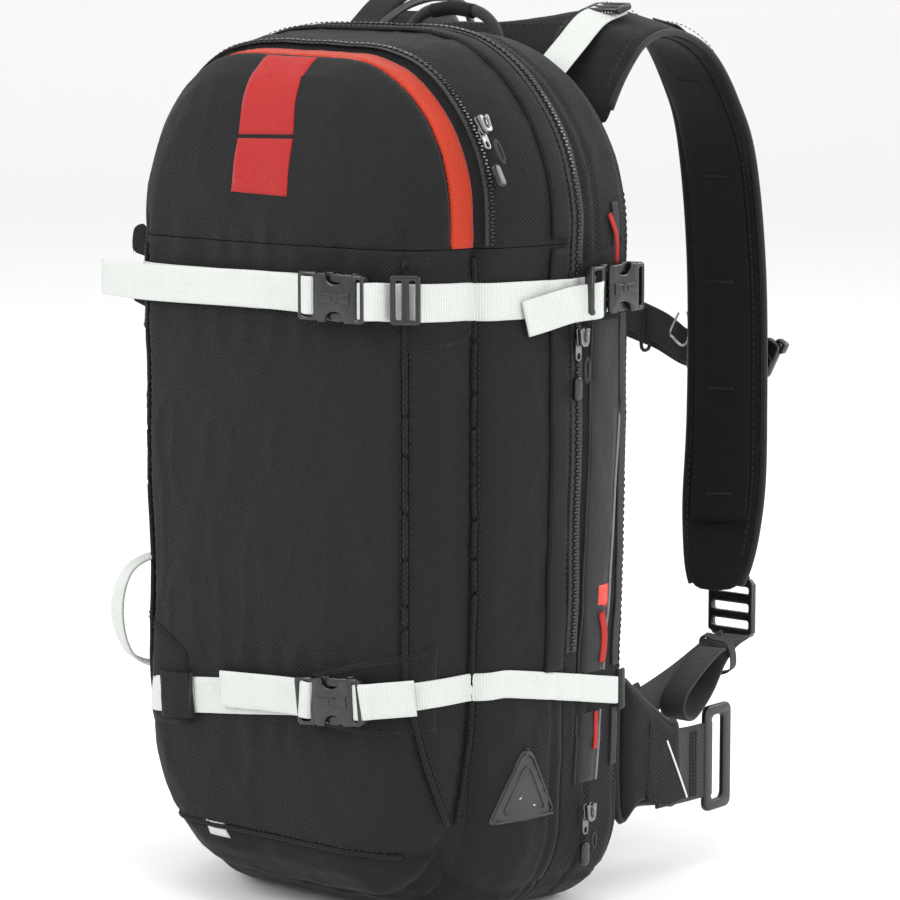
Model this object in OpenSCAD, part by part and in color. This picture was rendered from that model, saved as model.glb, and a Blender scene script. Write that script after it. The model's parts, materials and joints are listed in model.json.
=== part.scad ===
// Avalanche airbag backpack, about 18 litres, standing on its base.
// Frame: origin at the centre of the base, +Z up, +Y towards the wearer's back.
// +X points to the right of the front panel.

/* [Shell] */
// Thickness of the fabric walls
wall = 2; // [1.5:0.5:4]
// Height at which the lid and the front flap fold forward
fold_z = 372; // [368:1:380]
// Height of the upper compression strap's centre line
upper_z = 347; // [344:1:354]
// Height of the lower compression strap's centre line at the middle of the front
lower_z = 126; // [122:1:130]

/* [Webbing] */
// Width of the compression webbing
web_w = 20; // [18:1:20]
// Width of the narrow compression webbing
narrow_w = 15; // [12:1:16]
// Thickness of the webbing
web_t = 1.6; // [1.2:0.1:1.8]
// Width of a shoulder strap's pad
pad_w = 56; // [50:1:58]

/* [Airbag system] */
// Radius of the gas cartridge
cartridge_r = 20; // [18:1:21]
// Length of the gas cartridge's body
cartridge_l = 140; // [120:5:145]
// How far the trigger handle pulls out
trigger_travel = 45; // [30:5:50]

/* [Hidden] */

black = [0.10, 0.10, 0.11];
soft_black = [0.16, 0.16, 0.17];
grey = [0.28, 0.28, 0.29];
white = [0.90, 0.92, 0.90];
red = [0.85, 0.22, 0.18];
steel = [0.75, 0.76, 0.78];

// Outlines of the pack across its depth: y, half width, bottom z, top z,
// then the x and z radii of the top corners and of the bottom corners.
STATIONS = [
    [-86,  66, 76, 418, 50,  60, 40, 44],
    [-83,  86, 50, 446, 62,  72, 48, 54],
    [-76,  96, 34, 460, 68,  80, 54, 62],
    [-62, 103, 22, 469, 72,  84, 58, 66],
    [-46, 108, 12, 473, 76,  88, 60, 66],
    [-38, 117,  7, 477, 82,  92, 60, 64],
    [-15, 124,  0, 481, 88,  98, 60, 60],
    [ 12, 129,  0, 484, 92, 104, 58, 58],
    [ 36, 131,  0, 483, 94, 106, 54, 56],
    [ 62, 130,  0, 480, 94, 106, 50, 52],
    [ 70, 124,  8, 472, 90, 100, 46, 48]];
mid_y = -8;
half_depth = 78;
taper_z = 250;
taper = 0.05;
steps = 5;
pocket_y = -45;
zip_y = 12;
flap_y = -44;
edge_y = -58;
gap = 0.4;
cable_exit = [-70, 68, 446];

// The lower strap rises towards the right and falls again along the right side.
lower_slope = 0.11;
function low_z(x, y) = lower_z + lower_slope * x - (x > 0 ? 0.2 * max(0, y + 30) : 0);

function narrowing(z) = 1 - taper * max(0, (taper_z - z) / taper_z);
function bent(x, z) = [x * narrowing(z), z];

// The outline at one station, inset by i, as [x, z] points.
function outline(s, i) = [
    for (k = [0:steps]) let (a = 90 * k / steps)
        bent(s[1] - s[4] + (s[4] - i) * cos(a), s[3] - s[5] + (s[5] - i) * sin(a)),
    for (k = [0:steps]) let (a = 90 + 90 * k / steps)
        bent(s[4] - s[1] + (s[4] - i) * cos(a), s[3] - s[5] + (s[5] - i) * sin(a)),
    for (k = [0:steps]) let (a = 180 + 90 * k / steps)
        bent(s[6] - s[1] + (s[6] - i) * cos(a), s[2] + s[7] + (s[7] - i) * sin(a)),
    for (k = [0:steps]) let (a = 270 + 90 * k / steps)
        bent(s[1] - s[6] + (s[6] - i) * cos(a), s[2] + s[7] + (s[7] - i) * sin(a))];

// A closed solid through rings that run counterclockwise seen from before the first one.
module loft(rings) {
    n = len(rings[0]);
    m = len(rings);
    polyhedron(
        points = [for (r = rings) for (p = r) p],
        faces = [
            [for (j = [n - 1:-1:0]) j],
            for (i = [0:m - 2]) for (j = [0:n - 1])
                [i * n + j, i * n + (j + 1) % n, (i + 1) * n + (j + 1) % n, (i + 1) * n + j],
            [for (j = [0:n - 1]) (m - 1) * n + j]]);
}

function unit(v) = v / norm(v);
function tangent(p, i) = unit(p[min(i + 1, len(p) - 1)] - p[max(i - 1, 0)]);
function across(p, i, d) = let (t = tangent(p, i)) unit(d - (d * t) * t);
function mirrored(p) = [for (q = p) [-q[0], q[1], q[2]]];

// The four corners of a flat strip's section, with its width along d.
function strip_ring(p, i, w, t, d) =
    let (s = across(p, i, d) * w / 2, n = cross(tangent(p, i), across(p, i, d)) * t / 2)
    [p[i] + s + n, p[i] + s - n, p[i] - s - n, p[i] - s + n];

// Webbing or a pad of width w and thickness t along the points p.
module strip(p, w, t, d) loft([for (i = [0:len(p) - 1]) strip_ring(p, i, w, t, d)]);

function tube_ring(p, i, r, d, sides) =
    let (s = across(p, i, d), n = cross(tangent(p, i), s))
    [for (k = [0:sides - 1]) p[i] + r * (cos(360 * k / sides) * s - sin(360 * k / sides) * n)];

// A hose or cable of radius r along the points p.
module tube(p, r, d, sides = 8) loft([for (i = [0:len(p) - 1]) tube_ring(p, i, r, d, sides)]);

function ring_y(y, s, i) = [for (p = outline(s, i)) [p[0], y, p[1]]];
function inset_y(y, i) = mid_y + (y - mid_y) * (1 - i / half_depth);

module pack_form(i) loft([for (s = STATIONS) ring_y(inset_y(s[0], i), s, i)]);

module between(y0, y1, z0, z1) translate([-200, y0, z0]) cube([400, y1 - y0, z1 - z0]);

module shell_part(y0, y1, z0, z1) intersection() {
    difference() {
        pack_form(0);
        pack_form(wall);
    }
    between(y0, y1, z0, z1);
}

module divider(z0, z1) intersection() {
    pack_form(wall + gap);
    between(pocket_y - wall / 2, pocket_y + wall / 2, z0, z1);
}

/* Shells */
module rear_shell() color(black) difference() {
    shell_part(zip_y + gap, 100, -1, 500);
    translate(cable_exit) rotate([-90, 0, 0]) cylinder(h = 30, r = 5, center = true, $fn = 24);
}
module lower_front() color(black) shell_part(-100, zip_y, -1, fold_z - gap);
module lid_shell() color(black) shell_part(flap_y, zip_y, fold_z + gap, 500);
module front_flap() color(black) shell_part(-100, edge_y, fold_z + gap, 500);
module flap_edge() color(red) shell_part(edge_y + gap, flap_y - gap, fold_z + gap, 500);
module divider_lower() color(soft_black) divider(20, fold_z - gap);
module divider_upper() color(soft_black) divider(fold_z + gap, 480);
module base_panel() color(soft_black) translate([0, 10, wall + gap]) rounded_plate(130, 42, 10, 3);

// A flat plate w by d in X and Y, with corner radius r, rising by t.
module rounded_plate(w, d, r, t) linear_extrude(t) {
    square([w - 2 * r, d], center = true);
    square([w, d - 2 * r], center = true);
    for (x = [-1, 1]) for (y = [-1, 1])
        translate([x * (w / 2 - r), y * (d / 2 - r)]) circle(r, $fn = 32);
}

// The same plate standing up, with its flat side on y and its thickness towards +Y.
module standing_plate(x, y, z, w, h, r, t)
    translate([x, y + t, z]) rotate([90, 0, 0]) rounded_plate(w, h, r, t);

/* Back and frame */
module back_pad() color(soft_black) {
    standing_plate(0, 70 + gap, 388, 150, 84, 24, 9);
    for (x = [-1, 1]) standing_plate(x * 48, 70 + gap, 262, 66, 150, 20, 10);
    standing_plate(0, 70 + gap, 128, 170, 92, 30, 11);
}
module frame_sheet() color("white") standing_plate(0, 61.5, 244, 190, 370, 40, 1.5);
module frame_stays() color(steel) for (x = [-1, 1]) standing_plate(x * 45, 63.5, 250, 20, 350, 9, 3);

/* Zips */
// The arch of an outline from one side's lowest point over the top to the other's.
function arch(s, i, low) = [
    [(s[1] - i) * narrowing(low), s[0], low],
    [s[1] - i, s[0], taper_z],
    for (side = [1, -1]) for (k = [0:steps]) let (a = 90 * k / steps + (side > 0 ? 0 : 90))
        [side * (s[1] - s[4]) + (s[4] - i) * cos(a), s[0], s[3] - s[5] + (s[5] - i) * sin(a)],
    [i - s[1], s[0], taper_z],
    [(i - s[1]) * narrowing(low), s[0], low]];
module main_zip() color(grey)
    strip(arch([16, 130, 0, 484.2, 92, 104], -0.7, 150), 6, 0.9, [0, 1, 0]);
module pocket_zip() color(grey) intersection() {
    strip(arch([-40, 118, 0, 478, 82, 93], -1.8, 300), 4.6, 1.6, [0, 1, 0]);
    between(-60, 0, fold_z + 1, 500);
}
// The stretches of the side's long seams below and above the lower strap, on the side of x.
function band_heights(x) =
    let (h = low_z(131 * x, 48))
    [[h - 48, h - 13], [h + 13, taper_z, upper_z - 14]];
module burst_zips() color(red) for (x = [-1, 1])
    for (z = band_heights(x))
        strip([for (h = z) [x * (131.9 * narrowing(h)), 54, h]], 5, 1.4, [0, 1, 0]);
module side_bands() color(grey) for (x = [-1, 1]) for (z = band_heights(x))
    strip([for (h = z) [x * (131.9 * narrowing(h)), 42, h]], 12, 0.8, [0, 1, 0]);
// A slider body with its pull tab, hanging along -Z from the origin, facing +X.
module zip_slider(pull) {
    translate([0, -4, -5]) cube([4, 8, 10]);
    translate([4, -2, -pull]) cube([1.6, 4, pull + 2]);
}
module main_zip_slider() color(steel) translate([132.4, 16, 322]) zip_slider(30);
module pocket_zip_slider() color(steel) translate([110.1, -40, 433.6]) rotate([0, -27, 0]) zip_slider(32);
module lower_zip_slider() color(steel) translate([126.8, 29, 60]) zip_slider(26);

module rubber_badge() color(soft_black) translate([120.6, -15, 78]) rotate([90, 0, 80]) linear_extrude(1.6)
    polygon([[-22, -20], [22, -20], [24, -16], [4, 24], [-4, 24], [-24, -16]]);

/* Loops */
haul_path = [[-33, 75, 456], [-33, 75, 472], [-29, 75, 484], [-18, 75, 492], [0, 75, 494],
    [18, 75, 492], [29, 75, 484], [33, 75, 472], [33, 75, 456]];
module haul_loop() color(black) tube(haul_path, 3.5, [0, 1, 0]);
ski_path = [[-112, -43.3, 182], [-118.4, -51, 186], [-127.7, -61.4, 177], [-131.6, -65.9, 155],
    [-127.7, -61.4, 132], [-118.4, -51, 124], [-111.5, -43.3, 128]];
module ski_loop() color(white) strip(ski_path, narrow_w, 2, [-0.747, 0.664, 0]);

/* Airbag system */
module airbag_left() color(red) mirror([1, 0, 0]) airbag_right();
module airbag_right() color(red) translate([98, 40, 132]) cube([18, 19, 270]);

head = [78, 22, 50];
module cartridge() color(steel) translate([head[0] - 38, head[1], head[2]]) rotate([0, -90, 0]) {
    cylinder(h = cartridge_l - 14, r = cartridge_r, $fn = 48);
    translate([0, 0, cartridge_l - 14])
        cylinder(h = 14, r1 = cartridge_r, r2 = cartridge_r - 9, $fn = 48);
    translate([0, 0, -8]) cylinder(h = 8, r1 = 9, r2 = cartridge_r, $fn = 48);
    translate([0, 0, -17]) cylinder(h = 9, r = 9, $fn = 48);
}
module inflator_head() color(grey) difference() {
    translate(head + [-20, -15, -18]) cube([42, 30, 34]);
    translate(head + [-21, 0, 0]) rotate([0, 90, 0]) cylinder(h = 10, r = 9.5, $fn = 48);
    translate(head + [-13, -6, 8]) cube([26, 12, 12]);
}
module gauge_dial() color(white) translate(head + [0, -15, 0]) rotate([90, 0, 0]) difference() {
    cylinder(h = 5, r = 13, $fn = 48);
    translate([0, 0, 1.5]) cylinder(h = 5, r = 11.6, $fn = 48);
}
module gauge_needle() color(red) translate(head + [0, -17, 0]) rotate([90, 0, 0]) {
    cylinder(h = 1.2, r = 1.6, $fn = 24);
    translate([-0.6, 0, 0]) cube([1.2, 9, 0.8]);
}
module trigger_lever() color(steel) translate(head + [0, -3, 13]) {
    rotate([-90, 0, 0]) cylinder(h = 6, r = 3, $fn = 32);
    translate([-10, 0, -2]) cube([10, 6, 4]);
    translate([-10, 1, -2]) cube([4, 4, 16]);
}
module hose_right() color(soft_black) {
    tube([[head[0] + 12, head[1] + 6, head[2] + 20], [94, 48, 86], [104, 51, 104], [107, 51, 130]],
        4.5, [1, 0, 0]);
    translate([107, 51, 116]) cylinder(h = 10, r = 6.5, $fn = 32);
}
module hose_left() color(soft_black) {
    tube([[head[0] - 8, head[1] + 11, head[2] + 20], [64, 52, 84], [36, 54, 90], [-70, 54, 90],
        [-100, 52, 104], [-107, 51, 130]], 4.5, [0, 1, 0]);
    translate([-107, 51, 116]) cylinder(h = 10, r = 6.5, $fn = 32);
}
module cable_inner() color(black)
    tube([[66, 22, 82], [60, 28, 100], [48, 48, 130], [10, 57, 240], [-50, 57, 390], [-68, 58, 430],
        [-70, 64, 443], [-70, 71, 446]], 2, [1, 0, 0]);

/* Shoulder harness */
right_path = [[76, 80, 432], [76, 98, 462], [76, 118, 481], [76, 147, 487], [77, 180, 475],
    [78, 205, 447], [79, 222, 410], [82, 229, 340], [86, 225, 250], [92, 212, 190], [95, 202, 153]];
left_path = [[-31, 88, 460], [-46, 99, 474], [-72, 120, 484], [-94, 148, 487], [-99, 180, 476],
    [-94, 208, 446], [-88, 224, 400], [-84, 229, 340], [-86, 225, 250], [-92, 212, 190], [-95, 202, 153]];
pad_t = 9.5;
module shoulder_pad_right() color(black) strip(right_path, pad_w, pad_t, [1, 0, -0.25]);
module shoulder_pad_left() color(black) strip(left_path, pad_w, pad_t, [1, 0, 0]);

module load_lifter_right() color(white)
    strip([[67, 74, 459], [67, 95, 474], [68, 113, 487.5], [69, 128, 492.3]], web_w, web_t, [1, 0, -0.2]);
module load_lifter_left() color(white)
    strip([[-80, 84, 475], [-81, 96, 483], [-82, 118, 497], [-83, 140, 502], [-84, 164, 497.5]],
        web_w, web_t, [1, 0, 0]);

web_path = [[95, 210, 120], [97, 188, 117], [102, 150, 109], [105, 112, 102], [104, 78, 98]];
module shoulder_webs() color(black) {
    strip(web_path, 24, web_t, [0, 0.2, 1]);
    strip(mirrored(web_path), 24, web_t, [0, 0.2, 1]);
    for (x = [-1, 1]) translate([x * 103.5 - 5.5, 70 + gap, 84]) cube([11, 10, 28]);
}
module ladder_lock_right() color(black) translate([95, 217, 160]) difference() {
    translate([-16, 0, -34]) cube([32, 5, 34]);
    translate([-12.5, -1, -30]) cube([25, 7, 5]);
    translate([-12.5, -1, -20]) cube([25, 7, 5]);
    translate([-12.5, -1, -9]) cube([25, 7, 4]);
}
module ladder_lock_left() color(black) mirror([1, 0, 0]) ladder_lock_right();

module cable_outer() color(black)
    tube([[-71, 75, 449], [-71, 78, 458], [-70, 81, 472], [-66, 92, 484], [-66, 118, 495],
        [-66, 148, 499], [-67, 168, 494], [-78, 190, 482], [-90, 213, 463], [-91, 235, 425],
        [-89, 242, 390], [-86, 242, 340], [-86, 241, 283]], 2.4, [1, 0, 0]);
module trigger_pocket() color(soft_black) translate([-86, 232, 258]) difference() {
    translate([-17, 0, -24]) cube([34, 20, 48]);
    translate([-11, 4, -25]) cube([22, 12, 42]);
}
module trigger_handle() color(red) translate([-86, 241, 258]) {
    translate([-10, -5, -22]) cube([20, 10, 36]);
    translate([-7, -4, -40]) cube([14, 8, 20]);
    translate([-24, -7, -56]) cube([48, 14, 17]);
}

sternum_z = 290;
module sternum_strap() color(black) {
    strip([[-78, 238, sternum_z + 28], [-52, 243, sternum_z + 26], [0, 250, sternum_z + 17],
        [42, 247, sternum_z]], web_w, web_t, [0, 0, 1]);
    translate([57, 247, sternum_z]) buckle_plug();
}
module sternum_socket() color(black) translate([57, 247, sternum_z]) {
    buckle_socket();
    translate([30, -4, -9]) cube([20, 6, 18]);
    translate([42, 2, -5]) cube([8, 5, 10]);
}

/* Hip belt */
module hip_wing_right() color(black) {
    translate([110, 77, 46]) cube([12, 56, 74]);
    translate([114, 133, 38]) cube([3, 26, 50]);
}
module hip_wing_left() color(black) mirror([1, 0, 0]) hip_wing_right();
module hip_buckle_loop() color(steel) translate([115.5, 165, 63]) difference() {
    translate([-2, -3.5, -31]) cube([4, 26, 62]);
    translate([-3, 3, -25]) cube([6, 12, 50]);
}
module hip_buckle_hook() color(steel) mirror([1, 0, 0]) translate([115.5, 165, 63]) {
    translate([-2, -3.5, -28]) cube([4, 14, 56]);
    translate([-2, 10.5, -20]) cube([4, 12, 40]);
    translate([2, 14.5, -20]) cube([3, 8, 40]);
}

/* Compression straps */
// The line a strap follows round the right side, from the front's centre to the back edge.
ROUND = [[0, -86], [60, -86], [76, -85], [88, -82], [97, -76], [104, -64], [114, -42], [124, -15],
    [129.5, 12], [131.2, 36], [130.6, 58]];
function round_normal(i) =
    let (t = unit(ROUND[min(i + 1, len(ROUND) - 1)] - ROUND[max(i - 1, 0)]))
    [t[1], -t[0]];
function round_xy(i, o) = [ROUND[i][0], ROUND[i][1]] + o * round_normal(i);
function round_point(i, z, o) = let (q = round_xy(i, o)) [q[0] * narrowing(z), q[1], z];
// The stretch of that line between points a and b, at height z and o outside the fabric.
function round_path(a, b, z, o) = [for (i = [a:b]) round_point(i, z, o)];
// The same stretch for the lower strap, on the right (side = 1) or the left (side = -1).
function low_path(a, b, side, o) = [for (i = [a:b])
    let (q = round_xy(i, o), z = low_z(side * q[0], q[1]))
    [side * q[0] * narrowing(z), q[1], z]];
strap_o = 1.7 + web_t / 2;
tail_o = strap_o + web_t + 0.3;

module upper_strap_right() color(white) {
    strip(round_path(1, 9, upper_z, strap_o), web_w, web_t, [0, 0, 1]);
    strip([[126.3, -24, upper_z - 13], [129.4, -14, upper_z - 11], [135, 10, upper_z - 4]],
        web_w - 1, web_t, [0, 0, 1]);
}
module upper_strap_left() color(white) {
    mirror([1, 0, 0]) strip(round_path(0, 9, upper_z, strap_o), web_w, web_t, [0, 0, 1]);
    strip([[44, -86 - strap_o, upper_z], [0.3, -86 - strap_o, upper_z]], web_w, web_t, [0, 0, 1]);
    strip([[32, -86 - tail_o, upper_z], [-60, -86 - tail_o, upper_z], [-78, -85.2 - tail_o, upper_z],
        [-98, -84 - tail_o, upper_z], [-130, -76, upper_z - 2]], web_w, web_t, [0, 0, 1]);
}
module lower_strap_right() color(white)
    strip(low_path(1, 10, 1, strap_o), narrow_w, web_t, [0, 0, 1]);
module lower_strap_left() color(white) {
    strip(low_path(0, 10, -1, strap_o), web_w, web_t, [0, 0, 1]);
    strip([[34, -86 - strap_o, low_z(34, -86)], [0.3, -86 - strap_o, low_z(0, -86)]],
        web_w, web_t, [0, 0, 1]);
}
module strap_slider() color(black) translate([95.3, -83.2, upper_z]) rotate([0, 0, 30]) difference() {
    translate([-8, -4.2, -13]) cube([16, 3.4, 26]);
    translate([-5, -6, -10.5]) cube([3.5, 8, 21]);
    translate([1.5, -6, -10.5]) cube([3.5, 8, 21]);
}
module strap_anchors() color(black) {
    for (x = [0, 1]) mirror([x, 0, 0]) {
        translate([131.2 + gap, 52, upper_z - 13]) cube([3, 11, 26]);
        translate([127 + gap, 59.5, low_z(130 - 260 * x, 58) - 12]) cube([2.4, 6, 24]);
    }
    translate([-58, -92, low_z(-54, -86) - 12]) cube([8, 2, 24]);
}

// A side release buckle's socket, open towards -X at the origin.
module buckle_socket() difference() {
    translate([0, -4.5, -13]) cube([32, 9, 26]);
    translate([-1, -2.6, -10.2]) cube([24.5, 5.2, 20.4]);
    translate([10, -2.6, -14]) cube([10, 5.2, 28]);
    translate([26, -5.5, -10.5]) cube([3.5, 11, 21]);
}
// The plug that fits it, with its bar for the webbing on the -X side.
module buckle_plug() {
    difference() {
        translate([-14, -3.5, -13]) cube([13.4, 7, 26]);
        translate([-11, -4.5, -10.5]) cube([3.5, 9, 21]);
    }
    translate([-1, -2, -2.5]) cube([19, 4, 5]);
    for (z = [-9.6, 6]) translate([-1, -2, z]) cube([21, 4, 3.6]);
}
buckle_o = 9.1;
module at_upper() translate([47, -86 - buckle_o, upper_z]) children();
module at_lower() translate([44, -86 - buckle_o, low_z(44, -86)])
    rotate([0, -atan(lower_slope), 0]) children();
module at_side() translate([131.2 + buckle_o, 28, upper_z]) rotate([0, 0, 90]) children();
module upper_buckle_socket() color(black) at_upper() buckle_socket();
module upper_buckle_plug() color(black) at_upper() buckle_plug();
module lower_buckle_socket() color(black) at_lower() buckle_socket();
module lower_buckle_plug() color(black) at_lower() buckle_plug();
module side_buckle_sockets() color(black) for (x = [0, 1]) mirror([x, 0, 0]) at_side() buckle_socket();
module side_buckle_plug_right() color(black) at_side() buckle_plug();
module side_buckle_plug_left() color(black) mirror([1, 0, 0]) at_side() buckle_plug();

rear_shell();
lower_front();
base_panel();
divider_lower();
lid_shell();
divider_upper();
front_flap();
flap_edge();
back_pad();
frame_sheet();
frame_stays();
main_zip();
pocket_zip();
burst_zips();
side_bands();
rubber_badge();
haul_loop();
ski_loop();
lower_zip_slider();
main_zip_slider();
pocket_zip_slider();
airbag_left();
airbag_right();
inflator_head();
hose_left();
hose_right();
gauge_dial();
gauge_needle();
cartridge();
trigger_lever();
cable_inner();
cable_outer();
trigger_handle();
trigger_pocket();
upper_strap_left();
upper_strap_right();
upper_buckle_socket();
upper_buckle_plug();
side_buckle_sockets();
side_buckle_plug_left();
side_buckle_plug_right();
strap_anchors();
lower_strap_left();
lower_strap_right();
lower_buckle_socket();
lower_buckle_plug();
strap_slider();
shoulder_pad_left();
shoulder_pad_right();
load_lifter_left();
load_lifter_right();
shoulder_webs();
ladder_lock_left();
ladder_lock_right();
hip_wing_left();
hip_wing_right();
hip_buckle_hook();
hip_buckle_loop();
sternum_strap();
sternum_socket();
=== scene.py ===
"""Looks of an avalanche airbag backpack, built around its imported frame. Tables are in millimetres."""

import json
import math

import bmesh
import bpy
import numpy as np
from mathutils import Matrix, Vector, noise
from mathutils.bvhtree import BVHTree

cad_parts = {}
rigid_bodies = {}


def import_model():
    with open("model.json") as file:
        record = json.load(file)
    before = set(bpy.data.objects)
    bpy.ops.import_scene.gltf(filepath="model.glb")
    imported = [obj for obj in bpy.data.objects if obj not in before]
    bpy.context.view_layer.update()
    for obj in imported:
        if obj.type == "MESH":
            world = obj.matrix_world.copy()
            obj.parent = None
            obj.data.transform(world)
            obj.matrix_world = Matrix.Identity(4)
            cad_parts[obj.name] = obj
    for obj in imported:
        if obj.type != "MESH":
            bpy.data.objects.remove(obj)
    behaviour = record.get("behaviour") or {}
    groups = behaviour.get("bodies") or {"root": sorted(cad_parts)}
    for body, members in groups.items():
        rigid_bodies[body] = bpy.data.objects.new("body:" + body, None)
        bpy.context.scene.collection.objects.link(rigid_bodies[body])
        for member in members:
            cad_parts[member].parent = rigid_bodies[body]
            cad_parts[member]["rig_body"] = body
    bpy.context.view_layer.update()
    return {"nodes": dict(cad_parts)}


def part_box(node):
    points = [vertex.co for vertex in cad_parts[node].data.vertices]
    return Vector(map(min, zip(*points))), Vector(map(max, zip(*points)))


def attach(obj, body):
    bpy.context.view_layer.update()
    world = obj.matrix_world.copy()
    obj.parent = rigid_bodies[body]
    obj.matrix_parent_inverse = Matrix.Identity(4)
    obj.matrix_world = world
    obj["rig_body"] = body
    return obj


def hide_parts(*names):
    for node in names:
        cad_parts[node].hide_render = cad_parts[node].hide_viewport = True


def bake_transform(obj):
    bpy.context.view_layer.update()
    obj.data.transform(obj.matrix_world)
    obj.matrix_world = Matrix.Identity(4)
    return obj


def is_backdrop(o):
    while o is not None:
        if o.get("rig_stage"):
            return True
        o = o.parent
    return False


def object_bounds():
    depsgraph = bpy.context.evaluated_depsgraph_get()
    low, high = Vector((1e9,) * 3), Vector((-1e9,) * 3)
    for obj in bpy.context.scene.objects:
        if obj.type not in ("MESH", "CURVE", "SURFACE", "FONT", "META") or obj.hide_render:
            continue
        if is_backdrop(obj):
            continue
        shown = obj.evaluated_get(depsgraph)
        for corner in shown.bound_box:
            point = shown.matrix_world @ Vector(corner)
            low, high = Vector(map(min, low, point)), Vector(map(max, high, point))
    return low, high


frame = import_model()
scene = bpy.context.scene
NODES = frame["nodes"]
MM = 0.001
X, Y, Z = (1, 0, 0), (0, 1, 0), (0, 0, 1)
SIDES = ((1, "right"), (-1, "left"))


# ---------------------------------------------------------------- camera, floor and light
def aim(obj, target):
    obj.rotation_mode = "QUATERNION"
    obj.rotation_quaternion = (Vector(target) - obj.location).to_track_quat("-Z", "Y")


def add_camera():
    data = bpy.data.cameras.new("camera")
    data.lens, data.sensor_width = 144, 36
    data.clip_start, data.clip_end = 0.05, 50
    cam = bpy.data.objects.new("camera", data)
    scene.collection.objects.link(cam)
    cam.location = (1.2731, -1.5172, 0.5283)
    aim(cam, (0.0345, 0.0289, 0.2511))
    scene.camera = cam


def add_light(name, location, target, size, watts, colour=(1, 1, 1)):
    data = bpy.data.lights.new(name, "AREA")
    data.shape, data.size, data.size_y = "RECTANGLE", size[0], size[1]
    data.energy, data.color = watts, colour
    lamp = bpy.data.objects.new(name, data)
    scene.collection.objects.link(lamp)
    lamp.location = location
    aim(lamp, target)


STAGE_R, COVE_R = 5.6, 1.6  # the floor reaches well past every view's camera, then curves up


def add_stage():
    """A white floor that curves up into a wall well behind the pack."""
    profile = [(-STAGE_R, 0.0), (STAGE_R, 0.0)]
    for a in np.linspace(0.1, math.pi / 2, 14):
        profile.append((STAGE_R + COVE_R * math.sin(a), COVE_R * (1 - math.cos(a))))
    profile.append((STAGE_R + COVE_R, 6.5))
    turn = Matrix.Rotation(math.radians(40), 4, "Z")
    verts = [turn @ Vector((x, y, z)) for y, z in profile for x in (-8, 8)]
    faces = [(2 * i, 2 * i + 1, 2 * i + 3, 2 * i + 2) for i in range(len(profile) - 1)]
    mesh = bpy.data.meshes.new("floor")
    mesh.from_pydata(verts, [], faces)
    floor = bpy.data.objects.new("floor", mesh)
    scene.collection.objects.link(floor)
    mat = bpy.data.materials.new("floor")
    mat.use_nodes = True
    bsdf = mat.node_tree.nodes["Principled BSDF"]
    bsdf.inputs["Base Color"].default_value = (0.92, 0.92, 0.92, 1)
    bsdf.inputs["Roughness"].default_value = 0.7
    mesh.materials.append(mat)
    for p in mesh.polygons:
        p.use_smooth = True
    floor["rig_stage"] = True


def add_world():
    world = bpy.data.worlds.new("studio")
    scene.world = world
    world.use_nodes = True
    sky = world.node_tree.nodes["Background"]
    sky.inputs["Color"].default_value = (1, 1, 1, 1)
    sky.inputs["Strength"].default_value = 0.95


scene.view_settings.view_transform = "Standard"
add_camera()
add_stage()
add_world()
add_light("key", (-1.2, -2.2, 1.9), (0, 0, 0.27), (1.6, 1.6), 46)
add_light("side", (2.6, -0.5, 1.1), (0, 0.05, 0.25), (1.2, 1.8), 30)
add_light("rim", (1.3, 2.2, 1.7), (0, 0.1, 0.3), (1.4, 1.4), 30)
add_light("top", (0.1, -0.3, 2.6), (0, 0.05, 0.3), (1.4, 1.4), 16)


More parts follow.
